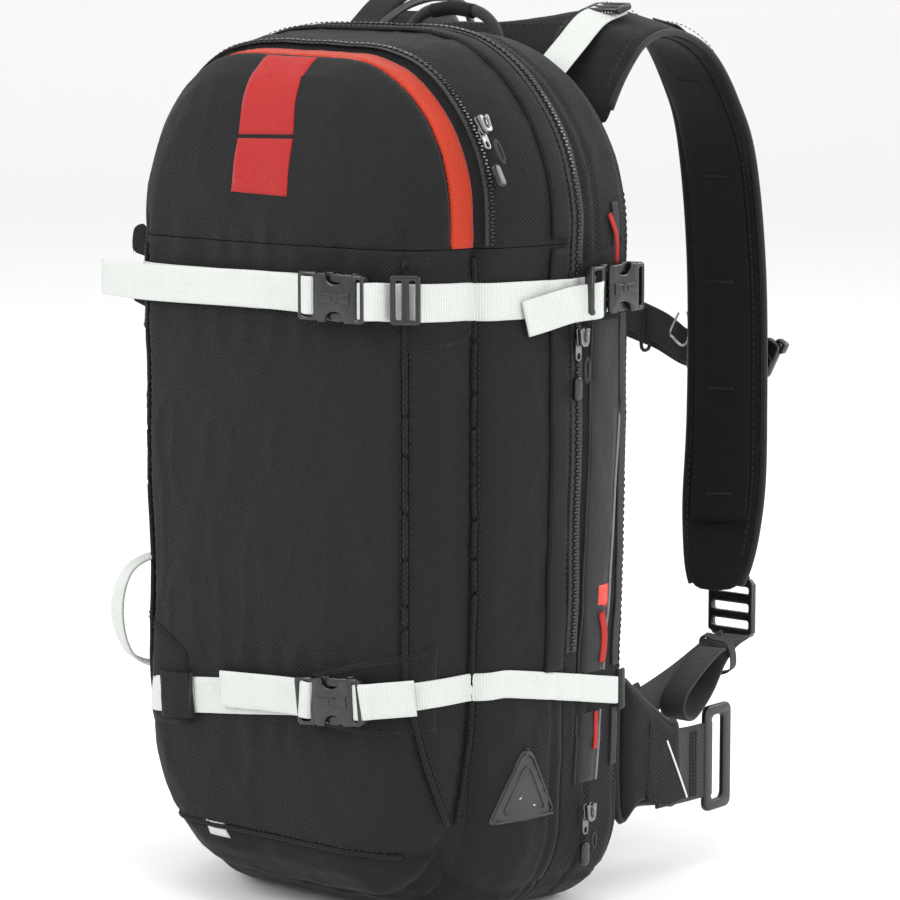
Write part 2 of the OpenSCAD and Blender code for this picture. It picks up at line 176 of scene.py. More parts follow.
# ---------------------------------------------------------------- material nodes
class Graph:
    """Short names for building a material's nodes."""

    def __init__(self, name):
        self.mat = bpy.data.materials.new(name)
        self.mat.use_nodes = True
        self.tree = self.mat.node_tree
        self.bsdf = self.tree.nodes["Principled BSDF"]

    def link(self, value, socket):
        if isinstance(value, bpy.types.NodeSocket):
            self.tree.links.new(value, socket)
        else:
            socket.default_value = value

    def math(self, op, a, b=0.0, c=0.0):
        node = self.tree.nodes.new("ShaderNodeMath")
        node.operation = op
        for socket, value in zip(node.inputs, (a, b, c)):
            self.link(value, socket)
        return node.outputs[0]

    def coords(self, kind="Object"):
        return self.tree.nodes.new("ShaderNodeTexCoord").outputs[kind]

    def split(self, vector):
        node = self.tree.nodes.new("ShaderNodeSeparateXYZ")
        self.link(vector, node.inputs[0])
        return node.outputs

    def attribute(self, name):
        node = self.tree.nodes.new("ShaderNodeAttribute")
        node.attribute_name = name
        return node

    def noise(self, vector, scale, detail=2.0, rough=0.5):
        node = self.tree.nodes.new("ShaderNodeTexNoise")
        self.link(vector, node.inputs["Vector"])
        node.inputs["Scale"].default_value = scale
        node.inputs["Detail"].default_value = detail
        node.inputs["Roughness"].default_value = rough
        return node.outputs["Fac"]

    def remap(self, value, low, high, to_low, to_high):
        node = self.tree.nodes.new("ShaderNodeMapRange")
        self.link(value, node.inputs[0])
        for i, v in enumerate((low, high, to_low, to_high), 1):
            node.inputs[i].default_value = v
        return node.outputs[0]

    def mix(self, fac, a, b):
        node = self.tree.nodes.new("ShaderNodeMix")
        node.data_type = "RGBA"
        self.link(fac, node.inputs["Factor"])
        colours = [s for s in node.inputs if s.type == "RGBA"]
        self.link(a, colours[0])
        self.link(b, colours[1])
        return [s for s in node.outputs if s.type == "RGBA"][0]

    def bump(self, height, strength, distance, normal=None):
        node = self.tree.nodes.new("ShaderNodeBump")
        self.link(height, node.inputs["Height"])
        node.inputs["Strength"].default_value = strength
        node.inputs["Distance"].default_value = distance
        if normal is not None:
            self.link(normal, node.inputs["Normal"])
        return node.outputs[0]

    def finish(self, colour, rough, normal=None, metal=0.0, sheen=0.0, coat=0.0, specular=0.5):
        self.link(colour, self.bsdf.inputs["Base Color"])
        self.link(rough, self.bsdf.inputs["Roughness"])
        if normal is not None:
            self.link(normal, self.bsdf.inputs["Normal"])
        self.bsdf.inputs["Metallic"].default_value = metal
        self.bsdf.inputs["Sheen Weight"].default_value = sheen
        self.bsdf.inputs["Sheen Roughness"].default_value = 0.45
        self.bsdf.inputs["Coat Weight"].default_value = coat
        self.bsdf.inputs["Specular IOR Level"].default_value = specular
        return self.mat


def rgba(c, k=1.0):
    return (c[0] * k, c[1] * k, c[2] * k, 1.0)


def weave_height(g, pitch):
    """Plain weave at that pitch in metres, laid on whichever faces X, Y or Z, from -1 to 1."""
    place = g.split(g.coords())
    facing = g.split(g.coords("Normal"))
    waves = [g.math("SINE", g.math("MULTIPLY", p, math.pi / pitch)) for p in place]
    total = None
    for axis, (a, b) in enumerate(((1, 2), (0, 2), (0, 1))):
        weight = g.math("POWER", g.math("ABSOLUTE", facing[axis]), 3.0)
        term = g.math("MULTIPLY", g.math("MULTIPLY", waves[a], waves[b]), weight)
        total = term if total is None else g.math("ADD", total, term)
    return total


def fabric(name, colour, pitch=1.3, depth=0.25, rough=0.85, sheen=0.06, mottle=0.25, second=None,
    slubs=0.5):
    """Woven cloth. second is (colour, attribute): a smoother cloth where that attribute is above zero."""
    g = Graph(name)
    weave = weave_height(g, pitch * MM)
    place = g.coords()
    patchy = g.noise(place, 14.0, 3.0)
    slub = g.noise(place, 900.0 / pitch, 2.0, 0.6)
    # painted shade: the colour follows the cloth's relief, lighter on raised threads and slubs, darker in the
    # hollows between them; patchy adds a random uneven tone
    painted_relief_shade = g.math("ADD", g.math("MULTIPLY", weave, 0.16), g.math("MULTIPLY", slub, slubs))
    relief_shade_and_mottle = g.math("ADD", painted_relief_shade, g.math("MULTIPLY", patchy, mottle))
    col = g.mix(g.remap(relief_shade_and_mottle, 0.0, 0.9, 0.0, 1.0), rgba(colour, 0.62), rgba(colour, 1.45))
    height = g.math("ADD", weave, g.math("MULTIPLY", slub, 0.9))
    if second:
        mask = g.remap(g.attribute(second[1]).outputs["Fac"], -0.0004, 0.0004, 0.0, 1.0)
        other = g.mix(g.remap(patchy, 0.3, 0.7, 0.0, 1.0), rgba(second[0], 0.85), rgba(second[0], 1.15))
        col = g.mix(mask, col, other)
        height = g.math("MULTIPLY", height, g.remap(mask, 0.0, 1.0, 1.0, 0.3))
    creases = g.bump(g.noise(place, 55.0, 4.0, 0.55), 0.35, 0.004)
    normal = g.bump(height, 0.8, depth * MM, creases)
    wear = g.remap(patchy, 0.3, 0.75, rough - 0.06, rough + 0.06)
    return g.finish(col, wear, normal, sheen=sheen, specular=0.16)


def webbing(name, colour, rib=1.5, rough=0.75, painted_rib_shade=0.16, soil=(0.55, 0.55, 0.5)):
    """Flat woven tape. Its ribs follow the attribute that holds the distance along and across it."""
    g = Graph(name)
    along = g.split(g.attribute("tape").outputs["Vector"])
    u = g.math("SINE", g.math("MULTIPLY", along[0], 2 * math.pi / (rib * MM)))
    v = g.math("SINE", g.math("MULTIPLY", along[1], 2 * math.pi / (1.9 * MM)))
    cord = g.math("MULTIPLY", g.math("ABSOLUTE", v), 0.6)
    height = g.math("ADD", g.math("MULTIPLY", g.math("ADD", u, 1.0), 0.35), cord)
    place = g.coords()
    grime = g.remap(g.noise(place, 60.0, 4.0, 0.6), 0.5, 0.85, 0.0, 0.35)
    # painted shade: the grooves between the ribs are painted darker, following the ribs' height; the grime
    # mix below is dirt
    clean = g.mix(height, rgba(colour, 1.0 - painted_rib_shade), rgba(colour, 1.02))
    col = g.mix(grime, clean, rgba([c * s for c, s in zip(colour, soil)], 1.35))
    fuzz = g.noise(place, 1500.0, 2.0)
    normal = g.bump(g.math("ADD", height, g.math("MULTIPLY", fuzz, 0.3)), 0.7, 0.0003)
    return g.finish(col, g.remap(fuzz, 0.2, 0.8, rough - 0.07, rough + 0.07), normal, sheen=0.15,
        specular=0.3)


def moulded(name, colour, rough=0.42, grain=2600.0, coat=0.0, depth=0.05, metal=0.0, streak=None,
    specular=0.5):
    """Moulded plastic or rubber, or metal when metal is 1, with fine grain and rubbed places."""
    g = Graph(name)
    place = g.coords()
    if streak:
        mapping = g.tree.nodes.new("ShaderNodeMapping")
        g.link(place, mapping.inputs["Vector"])
        mapping.inputs["Scale"].default_value = streak
        place = mapping.outputs[0]
    fine = g.noise(place, grain, 2.0, 0.6)
    broad = g.noise(place, grain / 60.0, 3.0)
    col = g.mix(broad, rgba(colour, 0.8), rgba(colour, 1.25))
    col = g.mix(g.remap(fine, 0.55, 0.9, 0.0, 0.25), col, rgba([min(1, c * 1.6 + 0.02) for c in colour]))
    normal = g.bump(fine, 0.5, depth * MM, g.bump(broad, 0.2, 0.0008))
    worn = g.remap(g.noise(place, grain / 25.0, 4.0, 0.65), 0.3, 0.75, rough - 0.1, rough + 0.12)
    return g.finish(col, worn, normal, metal=metal, coat=coat, specular=specular)


BLACK = (0.0125, 0.0118, 0.0130)
SMOOTH = (0.0085, 0.0081, 0.0090)
CHARCOAL = (0.024, 0.023, 0.026)
RED = (0.50, 0.045, 0.020)
WHITE = (0.56, 0.585, 0.56)

MAT = {
    "cordura": fabric("cordura_black", BLACK, 1.3, 0.30, second=(SMOOTH, "base")),
    "side_cloth": fabric("cordura_side", (0.0115, 0.0108, 0.0120), 1.5, 0.26, mottle=0.3),
    "smooth": fabric("smooth_black", SMOOTH, 0.7, 0.10, rough=0.72, sheen=0.05, slubs=0.3),
    "pad": fabric("pad_black", (0.0095, 0.0090, 0.0100), 0.9, 0.14, rough=0.78, sheen=0.08, slubs=0.35),
    "mesh": fabric("mesh_black", (0.028, 0.028, 0.030), 2.6, 0.7, rough=0.9, sheen=0.3),
    "red_cloth": fabric("cordura_red", RED, 1.1, 0.22, mottle=0.18, sheen=0.15, slubs=0.3),
    "stripe_cloth": fabric("stripe_red", (0.42, 0.026, 0.024), 0.9, 0.16, mottle=0.15, sheen=0.12, slubs=0.3),
    "airbag_cloth": fabric("airbag_orange", (0.75, 0.13, 0.03), 0.6, 0.10, rough=0.6, sheen=0.1),
    "band": fabric("band_charcoal", CHARCOAL, 0.5, 0.05, rough=0.55, sheen=0.1, slubs=0.15),
    "white_web": webbing("webbing_white", WHITE),
    "black_web": webbing("webbing_black", (0.022, 0.022, 0.024), painted_rib_shade=0.4),
    "grey_edge": webbing("edging_grey", (0.20, 0.20, 0.21), rib=0.9, painted_rib_shade=0.3),
    "tape_dark": webbing("binding_black", (0.014, 0.014, 0.015), rib=1.1, painted_rib_shade=0.45),
    "zip_tape": webbing("zip_tape_black", (0.018, 0.018, 0.019), rib=0.8, painted_rib_shade=0.4),
    "thread_black": moulded("thread_black", (0.012, 0.012, 0.0125), rough=0.7, grain=3500.0),
    "thread_white": moulded("thread_white", (0.62, 0.64, 0.62), rough=0.8, grain=3500.0),
    "plastic": moulded("acetal_black", (0.0075, 0.0075, 0.0080), rough=0.30, coat=0.15),
    "plastic_white": moulded("dial_white", (0.8, 0.8, 0.78), rough=0.5),
    "plastic_red": moulded("handle_red", (0.58, 0.05, 0.03), rough=0.38, coat=0.2),
    "sheet": moulded("frame_sheet_white", (0.62, 0.63, 0.64), rough=0.45),
    "rubber": moulded("rubber_black", (0.030, 0.030, 0.032), rough=0.62, grain=1800.0, depth=0.12),
    "hose": moulded("hose_black", (0.018, 0.018, 0.019), rough=0.5, grain=1800.0),
    "zip_metal": moulded("zip_gunmetal", (0.20, 0.20, 0.21), rough=0.34, metal=1.0),
    "steel": moulded("steel_brushed", (0.55, 0.56, 0.58), rough=0.3, metal=1.0, streak=(1, 1, 12)),
    "alloy": moulded("alloy_satin", (0.60, 0.61, 0.64), rough=0.36, metal=1.0, grain=1500.0),
    "alloy_dark": moulded("alloy_black", (0.010, 0.010, 0.011), rough=0.36, grain=1500.0, coat=0.1),
    "cartridge": moulded("cartridge_grey", (0.33, 0.34, 0.36), rough=0.4, metal=1.0, streak=(1, 14, 14)),
    "reflect": moulded("reflective_print", (0.66, 0.67, 0.68), rough=0.3, grain=5000.0),
    "mark_red": moulded("print_red", (0.60, 0.05, 0.035), rough=0.5),
    "mark_white": moulded("print_white", (0.75, 0.76, 0.75), rough=0.5),
}


# ---------------------------------------------------------------- mesh helpers
def piece(name, verts, faces, mat, body, replaces=(), slot=None, smooth=True, mats=(), indices=None):
    """A mesh object from points in millimetres, riding on a body."""
    mesh = bpy.data.meshes.new(name)
    mesh.from_pydata([tuple(float(c) * MM for c in v) for v in verts], [], faces)
    mesh.materials.append(MAT[mat])
    for m in mats:
        mesh.materials.append(MAT[m])
    if indices is not None:
        mesh.polygons.foreach_set("material_index", indices)
    mesh.polygons.foreach_set("use_smooth", [smooth] * len(mesh.polygons))
    mesh.update()
    obj = bpy.data.objects.new(name, mesh)
    scene.collection.objects.link(obj)
    return settle(obj, body, replaces, slot)


def settle(obj, body, replaces=(), slot=None):
    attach(obj, body)
    if replaces:
        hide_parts(*replaces)
    return obj


def modify(obj, kind, **settings):
    mod = obj.modifiers.new(kind.lower(), kind)
    for key, value in settings.items():
        setattr(mod, key, value)
    return mod


def add_attribute(mesh, name, values, kind="FLOAT"):
    layer = mesh.attributes.new(name, kind, "POINT")
    layer.data.foreach_set("value" if kind == "FLOAT" else "vector", np.asarray(values, np.float32).ravel())


def unit(v):
    v = np.asarray(v, float)
    return v / (np.linalg.norm(v, axis=-1, keepdims=True) + 1e-12)


def distance(path):
    """How far along a path each of its points is."""
    return np.concatenate([[0], np.cumsum(np.linalg.norm(np.diff(path, axis=0), axis=1))])


def spline(a, b, c, d, t):
    """The point at share t from b to c, on a smooth curve that also passes a and d."""
    return 0.5 * (2 * b + (c - a) * t + (2 * a - 5 * b + 4 * c - d) * t * t
        + (3 * b - a - 3 * c + d) * t**3)


def curve_points(points, count, closed=False):
    """count points, evenly spaced, on a smooth curve through the given ones."""
    p = np.asarray(points, float)
    n = len(p)
    if closed:
        padded = np.vstack([p[-1], p, p[0], p[1]])
        spans = n
    else:
        padded = np.vstack([2 * p[0] - p[1], p, 2 * p[-1] - p[-2]])
        spans = n - 1
    fine = []
    for i in range(spans):
        a, b, c, d = padded[i : i + 4]
        for t in np.linspace(0, 1, 24, endpoint=False):
            fine.append(spline(a, b, c, d, t))
    fine.append(padded[spans + 1] if not closed else p[0])
    fine = np.array(fine)
    dist = distance(fine)
    at = np.linspace(0, dist[-1], count, endpoint=not closed)
    return np.stack([np.interp(at, dist, fine[:, k]) for k in range(p.shape[1])], 1)


def tube_faces(rows, n, closed=False, base=0):
    """The faces of a tube of rows of n points: its wall, then, if it isn't closed on itself, both ends."""
    faces = []
    for i in range(rows if closed else rows - 1):
        j = (i + 1) % rows
        for a in range(n):
            b = (a + 1) % n
            faces.append((i * n + a, i * n + b, j * n + b, j * n + a))
    if not closed:
        faces += [tuple(range(n - 1, -1, -1)), tuple((rows - 1) * n + a for a in range(n))]
    return [tuple(base + i for i in f) for f in faces]


def grid_faces(rows, cols):
    """The faces of a sheet of rows by cols cells."""
    starts = [i * (cols + 1) + k for i in range(rows) for k in range(cols)]
    return [(a, a + 1, a + cols + 2, a + cols + 1) for a in starts]


def frames(path, side, closed=False):
    """Tangent, side and normal at each point of a path. side is one direction or one per point."""
    if closed:
        tan = unit(np.roll(path, -1, 0) - np.roll(path, 1, 0))
    else:
        tan = unit(np.gradient(path, axis=0))
    s = np.broadcast_to(np.asarray(side, float), path.shape)
    s = unit(s - (s * tan).sum(1, keepdims=True) * tan)
    return tan, s, np.cross(s, tan)


def sweep(name, path, section, side, mat, body, closed=False, scale=None, **kw):
    """Sweeps section, (across, out) pairs in millimetres, along a path. Writes the tape attribute."""
    path = np.asarray(path, float)
    tan, s, n = frames(path, side, closed)
    sec = np.asarray(section, float)
    k = len(sec)
    scale = np.ones((len(path), 2)) if scale is None else np.asarray(scale, float)
    verts = (
        path[:, None]
        + (sec[None, :, 0] * scale[:, None, 0])[..., None] * s[:, None]
        + (sec[None, :, 1] * scale[:, None, 1])[..., None] * n[:, None]
    )
    obj = piece(name, verts.reshape(-1, 3), tube_faces(len(path), k, closed), mat, body, **kw)
    dist = distance(path)
    tape = np.zeros((len(path), k, 3))
    tape[..., 0] = dist[:, None] * MM
    tape[..., 1] = sec[None, :, 0] * MM
    add_attribute(obj.data, "tape", tape, "FLOAT_VECTOR")
    return obj


def tape_section(w, t):
    """A flat tape's section, w wide and t thick, with soft edges."""
    h, e = w / 2, t / 2
    top = [(-h, 0), (-h + 0.35 * e, 0.75 * e), (-h + 1.2 * e, e)]
    row = [(x, e) for x in np.linspace(-h + 1.2 * e, h - 1.2 * e, 7)[1:-1]]
    half = top + row + [(h - 1.2 * e, e), (h - 0.35 * e, 0.75 * e), (h, 0)]
    return half + [(x, -y) for x, y in reversed(half[1:-1])]


def round_section(r, sides=14):
    return [(r * math.cos(a), r * math.sin(a)) for a in np.linspace(0, 2 * math.pi, sides, endpoint=False)]


def ribbon(name, points, w, t, side, mat, body, step=2.5, closed=False, **kw):
    path = curve_points(points, max(6, int(distance(points)[-1] / step)), closed)
    if np.ndim(side) == 2:
        side = curve_points(side, len(path), closed)
    return sweep(name, path, tape_section(w, t), side, mat, body, closed, **kw)


def cord(name, points, r, mat, body, side=Z, sides=14, step=3.0, closed=False, **kw):
    path = curve_points(points, max(8, int(distance(points)[-1] / step)), closed)
    return sweep(name, path, round_section(r, sides), side, mat, body, closed, **kw)


def join(objs, name):
    """Joins meshes on one body into the first, and names it."""
    objs = [o for o in objs if o is not None]
    base = objs[0]
    with bpy.context.temp_override(
        active_object=base, object=base, selected_objects=objs, selected_editable_objects=objs
    ):
        bpy.ops.object.join()
    base.name = base.data.name = name
    return base


def apply_all(obj):
    """Bakes an object's modifiers into its mesh."""
    bpy.context.view_layer.update()
    done = bpy.data.meshes.new_from_object(obj.evaluated_get(bpy.context.evaluated_depsgraph_get()))
    obj.modifiers.clear()
    old = obj.data
    obj.data = done
    bpy.data.meshes.remove(old)
    return obj


def rounded_rect(w, h, r, n=6, centre=(0, 0)):
    """A rounded rectangle's corners, counterclockwise."""
    r = min(r, w / 2 - 1e-3, h / 2 - 1e-3)
    out = []
    for cx, cy, a0 in ((1, 1, 0), (-1, 1, 90), (-1, -1, 180), (1, -1, 270)):
        for a in np.radians(np.linspace(a0, a0 + 90, n)):
            out.append((centre[0] + cx * (w / 2 - r) + r * math.cos(a),
                centre[1] + cy * (h / 2 - r) + r * math.sin(a)))
    return out


def plate(name, loops, t, matrix, mat, body, bevel=0.6, **kw):
    """A plate t thick, bevelled all round, from an outline and holes in millimetres, placed by a matrix."""
    curve = bpy.data.curves.new(name, "CURVE")
    curve.dimensions, curve.fill_mode = "2D", "BOTH"
    curve.extrude, curve.bevel_depth, curve.bevel_resolution = (t / 2 - bevel) * MM, bevel * MM, 2
    curve.offset = -bevel * MM
    for loop in loops:
        spline = curve.splines.new("POLY")
        spline.points.add(len(loop) - 1)
        for point, (x, y) in zip(spline.points, loop):
            point.co = (x * MM, y * MM, 0, 1)
        spline.use_cyclic_u = True
    obj = bpy.data.objects.new(name, curve)
    scene.collection.objects.link(obj)
    bpy.context.view_layer.update()
    mesh = bpy.data.meshes.new_from_object(obj.evaluated_get(bpy.context.evaluated_depsgraph_get()))
    bpy.data.objects.remove(obj)
    bpy.data.curves.remove(curve)
    mesh.materials.clear()
    mesh.materials.append(MAT[mat])
    mesh.transform(matrix)
    mesh.polygons.foreach_set("use_smooth", [True] * len(mesh.polygons))
    made = bpy.data.objects.new(name, mesh)
    scene.collection.objects.link(made)
    bm = bmesh.new()
    bm.from_mesh(mesh)
    bmesh.ops.remove_doubles(bm, verts=bm.verts, dist=1e-6)
    for e in bm.edges:
        if len(e.link_faces) == 2 and e.calc_face_angle(0) > 0.6:
            e.smooth = False
    bm.to_mesh(mesh)
    bm.free()
    return settle(made, body, **kw)


def placed(origin, x_axis, y_axis):
    """Matrix that carries local X and Y onto the given directions, at an origin in millimetres."""
    x = Vector(x_axis).normalized()
    y = Vector(y_axis)
    y = (y - y.dot(x) * x).normalized()
    m = Matrix((x, y, x.cross(y))).transposed().to_4x4()
    m.translation = Vector(origin) * MM
    return m


# ---------------------------------------------------------------- the bag's surface
# y, half width, bottom z, top z, top corner x and z radii, bottom corner x and z radii
STATIONS = np.array(
    [
        (-86, 66, 76, 418, 50, 60, 40, 44),
        (-83, 86, 50, 446, 62, 72, 48, 54),
        (-76, 96, 34, 460, 68, 80, 54, 62),
        (-62, 103, 22, 469, 72, 84, 58, 66),
        (-46, 108, 12, 473, 76, 88, 60, 66),
        (-38, 117, 7, 477, 82, 92, 60, 64),
        (-15, 124, 0, 481, 88, 98, 60, 60),
        (12, 129, 0, 484, 92, 104, 58, 58),
        (36, 131, 0, 483, 94, 106, 54, 56),
        (62, 130, 0, 480, 94, 106, 50, 52),
        (70, 124, 8, 472, 90, 100, 46, 48),
    ],
    float,
)
FOLD_Z, FLAP_Y, EDGE_Y, ZIP_Y = 372.0, -44.0, -58.0, 12.0
UPPER_Z, LOWER_Z = 347.0, 126.0
CAP_ROWS, BACK_ROWS = 26, 16


def outline_params():
    """Corner number, angle and share along each edge, round the outline from the right side's foot."""
    quarter = math.pi / 2
    up, down = (lambda v: v), (lambda v: 1 - v)
    runs = [("side", 1, 90, 1, up), ("top", 1, 26, quarter, up), ("over", 1, 28, 1, up)]
    runs += [("top", -1, 26, quarter, down), ("side", -1, 90, 1, down), ("foot", -1, 20, quarter, up)]
    runs += [("under", 1, 28, 1, up), ("foot", 1, 20, quarter, down)]
    return [(kind, sign, full * way(k / n)) for kind, sign, n, full, way in runs for k in range(n)]


CELLS = outline_params()


def ring(s):
    """The outline at one station as an array of x and z."""
    w, zb, zt, rtx, rtz, rbx, rbz = s[1:8]
    out = []
    for kind, sign, v in CELLS:
        if kind == "side":
            p = (sign * w, zb + rbz + (zt - rtz - zb - rbz) * v)
        elif kind == "top":
            p = (sign * (w - rtx + rtx * math.cos(v)), zt - rtz + rtz * math.sin(v))
        elif kind == "over":
            p = ((w - rtx) * (1 - 2 * v), zt)
        elif kind == "foot":
            p = (sign * (w - rbx + rbx * math.cos(v)), zb + rbz - rbz * math.sin(v))
        else:
            p = ((w - rbx) * (2 * v - 1), zb)
        out.append(p)
    out = np.array(out)
    out[:, 0] *= 1 - 0.05 * np.clip((250 - out[:, 1]) / 250, 0, None)
    return out


def body_grid():
    """Rows of points from the front's middle, over the sides, to the back's middle."""
    rows, stations = [], []
    padded = np.vstack([STATIONS[0] - (STATIONS[1] - STATIONS[0]) * 0.4, STATIONS,
        2 * STATIONS[-1] - STATIONS[-2]])
    for i in range(len(STATIONS) - 1):
        a, b, c, d = padded[i : i + 4]
        count = max(4, int(np.linalg.norm((c - b)[:3]) / 2.4))
        for t in np.linspace(0, 1, count, endpoint=False):
            stations.append(0.5 * spline(a, b, c, d, t) + 0.5 * (b + (c - b) * t))
    stations.append(STATIONS[-1])
    front, back = ring(stations[0]), ring(stations[-1])
    for k in range(CAP_ROWS):
        rows.append(shrink(front, k / CAP_ROWS, -86))
    for s in stations:
        xz = ring(s)
        rows.append(np.stack([xz[:, 0], np.full(len(xz), s[0]), xz[:, 1]], 1))
    for k in range(1, BACK_ROWS + 1):
        rows.append(shrink(back, 1 - k / BACK_ROWS, 70))
    return np.array(rows)


def shrink(xz, u, y):
    """An outline drawn in towards its own long middle line, to share u of its size."""
    mid_z = np.clip(xz[:, 1], 160, 340)
    x = xz[:, 0] * u
    z = mid_z * (1 - u) + xz[:, 1] * u
    return np.stack([x, np.full(len(x), y), z], 1)


def bell(x, centre, width):
    return np.exp(-(((x - centre) / width) ** 2))


def smooth_noise(points, scale, seed):
    """Mathutils noise at each point, from about -1 to 1."""
    offset = Vector((seed * 17.3, seed * 5.1, seed * 9.7))
    return np.array([noise.noise(Vector(p) / scale + offset) for p in points])


def step(x, low, high):
    t = np.clip((x - low) / (high - low), 0, 1)
    return t * t * (3 - 2 * t)


def front_seam(z):
    """Depth of the seam down the front corner; it meets the side seam in a point near the base."""
    return -54 - 26 * step(z, 48, 150) ** 0.6


def side_seam(z):
    return -54 + 9 * step(z, 48, 130)


def base_height(y):
    """Height of the base panel's seam."""
    front = 47 + 5 * bell(y, -54, 6)
    side = 19 + 33 * np.exp(-np.clip(y + 54, 0, None) / 13)
    return np.where(y < -54, front, side)


def low_z(x, y):
    """The lower strap's height, which rises to the right and falls again along that side."""
    return LOWER_Z + 0.11 * x - np.where(np.asarray(x) > 0, 0.2 * np.maximum(0, np.asarray(y) + 30), 0)


def strap_grip(p):
    """Nothing where a strap holds the cloth in, rising to one away from it."""
    x, y, z = p.T
    return np.clip(1 - 0.98 * bell(z, UPPER_Z, 20) - 0.98 * bell(z, low_z(x, y), 20), 0, 1)


def displacement(p, cap):
    """How far the cloth stands off the plain surface. cap is 0 in the front's middle, 1 at its edge."""
    x, y, z = p.T
    grip = strap_grip(p)
    crown = 3.2 * grip * (1 - cap**2) * (z < 460)
    crown += 2.0 * grip * bell(y, -16, 24) * (np.abs(x) > 60)
    crown += 1.6 * grip * bell(y, -62, 10)
    on_side = 1 - bell(y, 75, 12)
    soft = smooth_noise(p, 70, 1) * 1.5 + smooth_noise(p, 26, 2) * 0.55
    ridge = 1 - np.abs(smooth_noise(p * np.array([1, 1, 0.45]), 24, 3)) * 2.4
    soft += 0.7 * np.clip(ridge, 0, 1) ** 3
    d = crown + soft * (0.25 + 0.75 * grip) * on_side
    around = np.arctan2(x, -(y + 8)) * 100
    pull = bell(np.abs(z - UPPER_Z), 22, 12) + bell(np.abs(z - low_z(x, y)), 20, 12)
    d += 0.45 * pull * np.sin(around / 3.6 + 2 * smooth_noise(p, 45, 4)) * (y < 60)
    seams = bell(y, front_seam(z), 1.7) * (z < FOLD_Z + 12) + bell(y, side_seam(z), 1.7) * (z < FOLD_Z)
    seams += bell(z, base_height(y), 1.6) * (cap > 0.2)
    seams += 0.8 * bell(y, 5, 1.4) + 0.8 * bell(y, 24, 1.4) * (z > 100) + 0.7 * bell(y, 33, 1.4) + bell(y,
        62, 1.8)
    seams += 0.8 * bell(y, EDGE_Y, 1.4) * (z > FOLD_Z) + 0.8 * bell(y, FLAP_Y, 1.4) * (z > FOLD_Z)
    d -= 1.9 * np.clip(seams, 0, 1)
    near = bell(y, front_seam(z), 9) + bell(y, side_seam(z), 9) + 0.7 * bell(z, base_height(y), 8)
    d += 0.22 * near * np.sin(z / 1.15 + 3 * smooth_noise(p, 20, 5)) * (z < FOLD_Z)
    low = np.clip((4 - z) / 4, 0, 1)
    return d * (1 - low) * np.where(y > 66, 0.3, 1.0)


def grid_normals(grid):
    rows = np.gradient(grid, axis=0)
    cols = np.roll(grid, -1, 1) - np.roll(grid, 1, 1)
    return unit(np.cross(cols, rows))


def body_surface():
    grid = body_grid()
    count = len(grid)
    cap = np.minimum(1, np.arange(count) / CAP_ROWS)
    share = np.repeat(cap, len(CELLS))
    normal = grid_normals(grid).reshape(-1, 3)
    flat = grid.reshape(-1, 3)
    out = np.array([0, -8, 250]) - flat
    flip = np.sign((normal * -out).sum(1))
    normal *= np.where(flip == 0, 1, flip)[:, None]
    normal[: len(CELLS) * 2] = (0, -1, 0)
    normal[-len(CELLS) * 2 :] = Y
    moved = flat + normal * displacement(flat, share)[:, None]
    moved[:, 2] = np.maximum(moved[:, 2], 0)
    n = len(CELLS)
    faces = [
        (i * n + j, i * n + (j + 1) % n, (i + 1) * n + (j + 1) % n, (i + 1) * n + j)
        for i in range(count - 1)
        for j in range(n)
    ]
    return moved, np.array(faces)


BODY, BODY_FACES = body_surface()
TREE = BVHTree.FromPolygons([Vector(p) for p in BODY], [tuple(f) for f in BODY_FACES])


def panel(name, low, high, mat, body, replaces=(), slot=None, thick=1.6):
    """The bag's surface between two corners of a box, as cloth that thick, with clean edges."""
    low, high = np.array(low, float), np.array(high, float)
    corners = BODY[BODY_FACES]
    near = ((corners.max(1) > low) & (corners.min(1) < high)).all(1)
    bm = bmesh.new()
    used = {}
    for face in BODY_FACES[near]:
        vs = []
        for i in face:
            if i not in used:
                used[i] = bm.verts.new(BODY[i])
            vs.append(used[i])
        if len(set(vs)) == 4:
            bm.faces.new(vs)
    bmesh.ops.remove_doubles(bm, verts=bm.verts, dist=0.02)
    for axis in range(3):
        for plane, sign in ((low, -1), (high, 1)):
            if abs(plane[axis]) < 900:
                normal, point = [0, 0, 0], [0, 0, 0]
                normal[axis], point[axis] = sign, plane[axis]
                geom = bm.verts[:] + bm.edges[:] + bm.faces[:]
                bmesh.ops.bisect_plane(bm, geom=geom, dist=1e-4, plane_co=point, plane_no=normal,
                    clear_outer=True)
    bmesh.ops.dissolve_degenerate(bm, dist=0.02, edges=bm.edges)
    bmesh.ops.scale(bm, vec=(MM, MM, MM), verts=bm.verts)
    mesh = bpy.data.meshes.new(name)
    bm.normal_update()
    centre = Vector((0, -0.008, 0.25))
    votes = sum(1 if f.normal.dot(f.calc_center_median() - centre) > 0 else -1 for f in bm.faces)
    if votes < 0:
        bmesh.ops.reverse_faces(bm, faces=bm.faces)
    bm.to_mesh(mesh)
    bm.free()
    mesh.materials.append(MAT[mat])
    mesh.polygons.foreach_set("use_smooth", [True] * len(mesh.polygons))
    co = np.zeros(len(mesh.vertices) * 3)
    mesh.vertices.foreach_get("co", co)
    co = co.reshape(-1, 3) / MM
    add_attribute(mesh, "base", (base_height(co[:, 1]) - co[:, 2]) * MM)
    obj = bpy.data.objects.new(name, mesh)
    scene.collection.objects.link(obj)
    modify(obj, "SOLIDIFY", thickness=thick * MM, offset=-1)
    apply_all(obj)
    return settle(obj, body, replaces, slot)


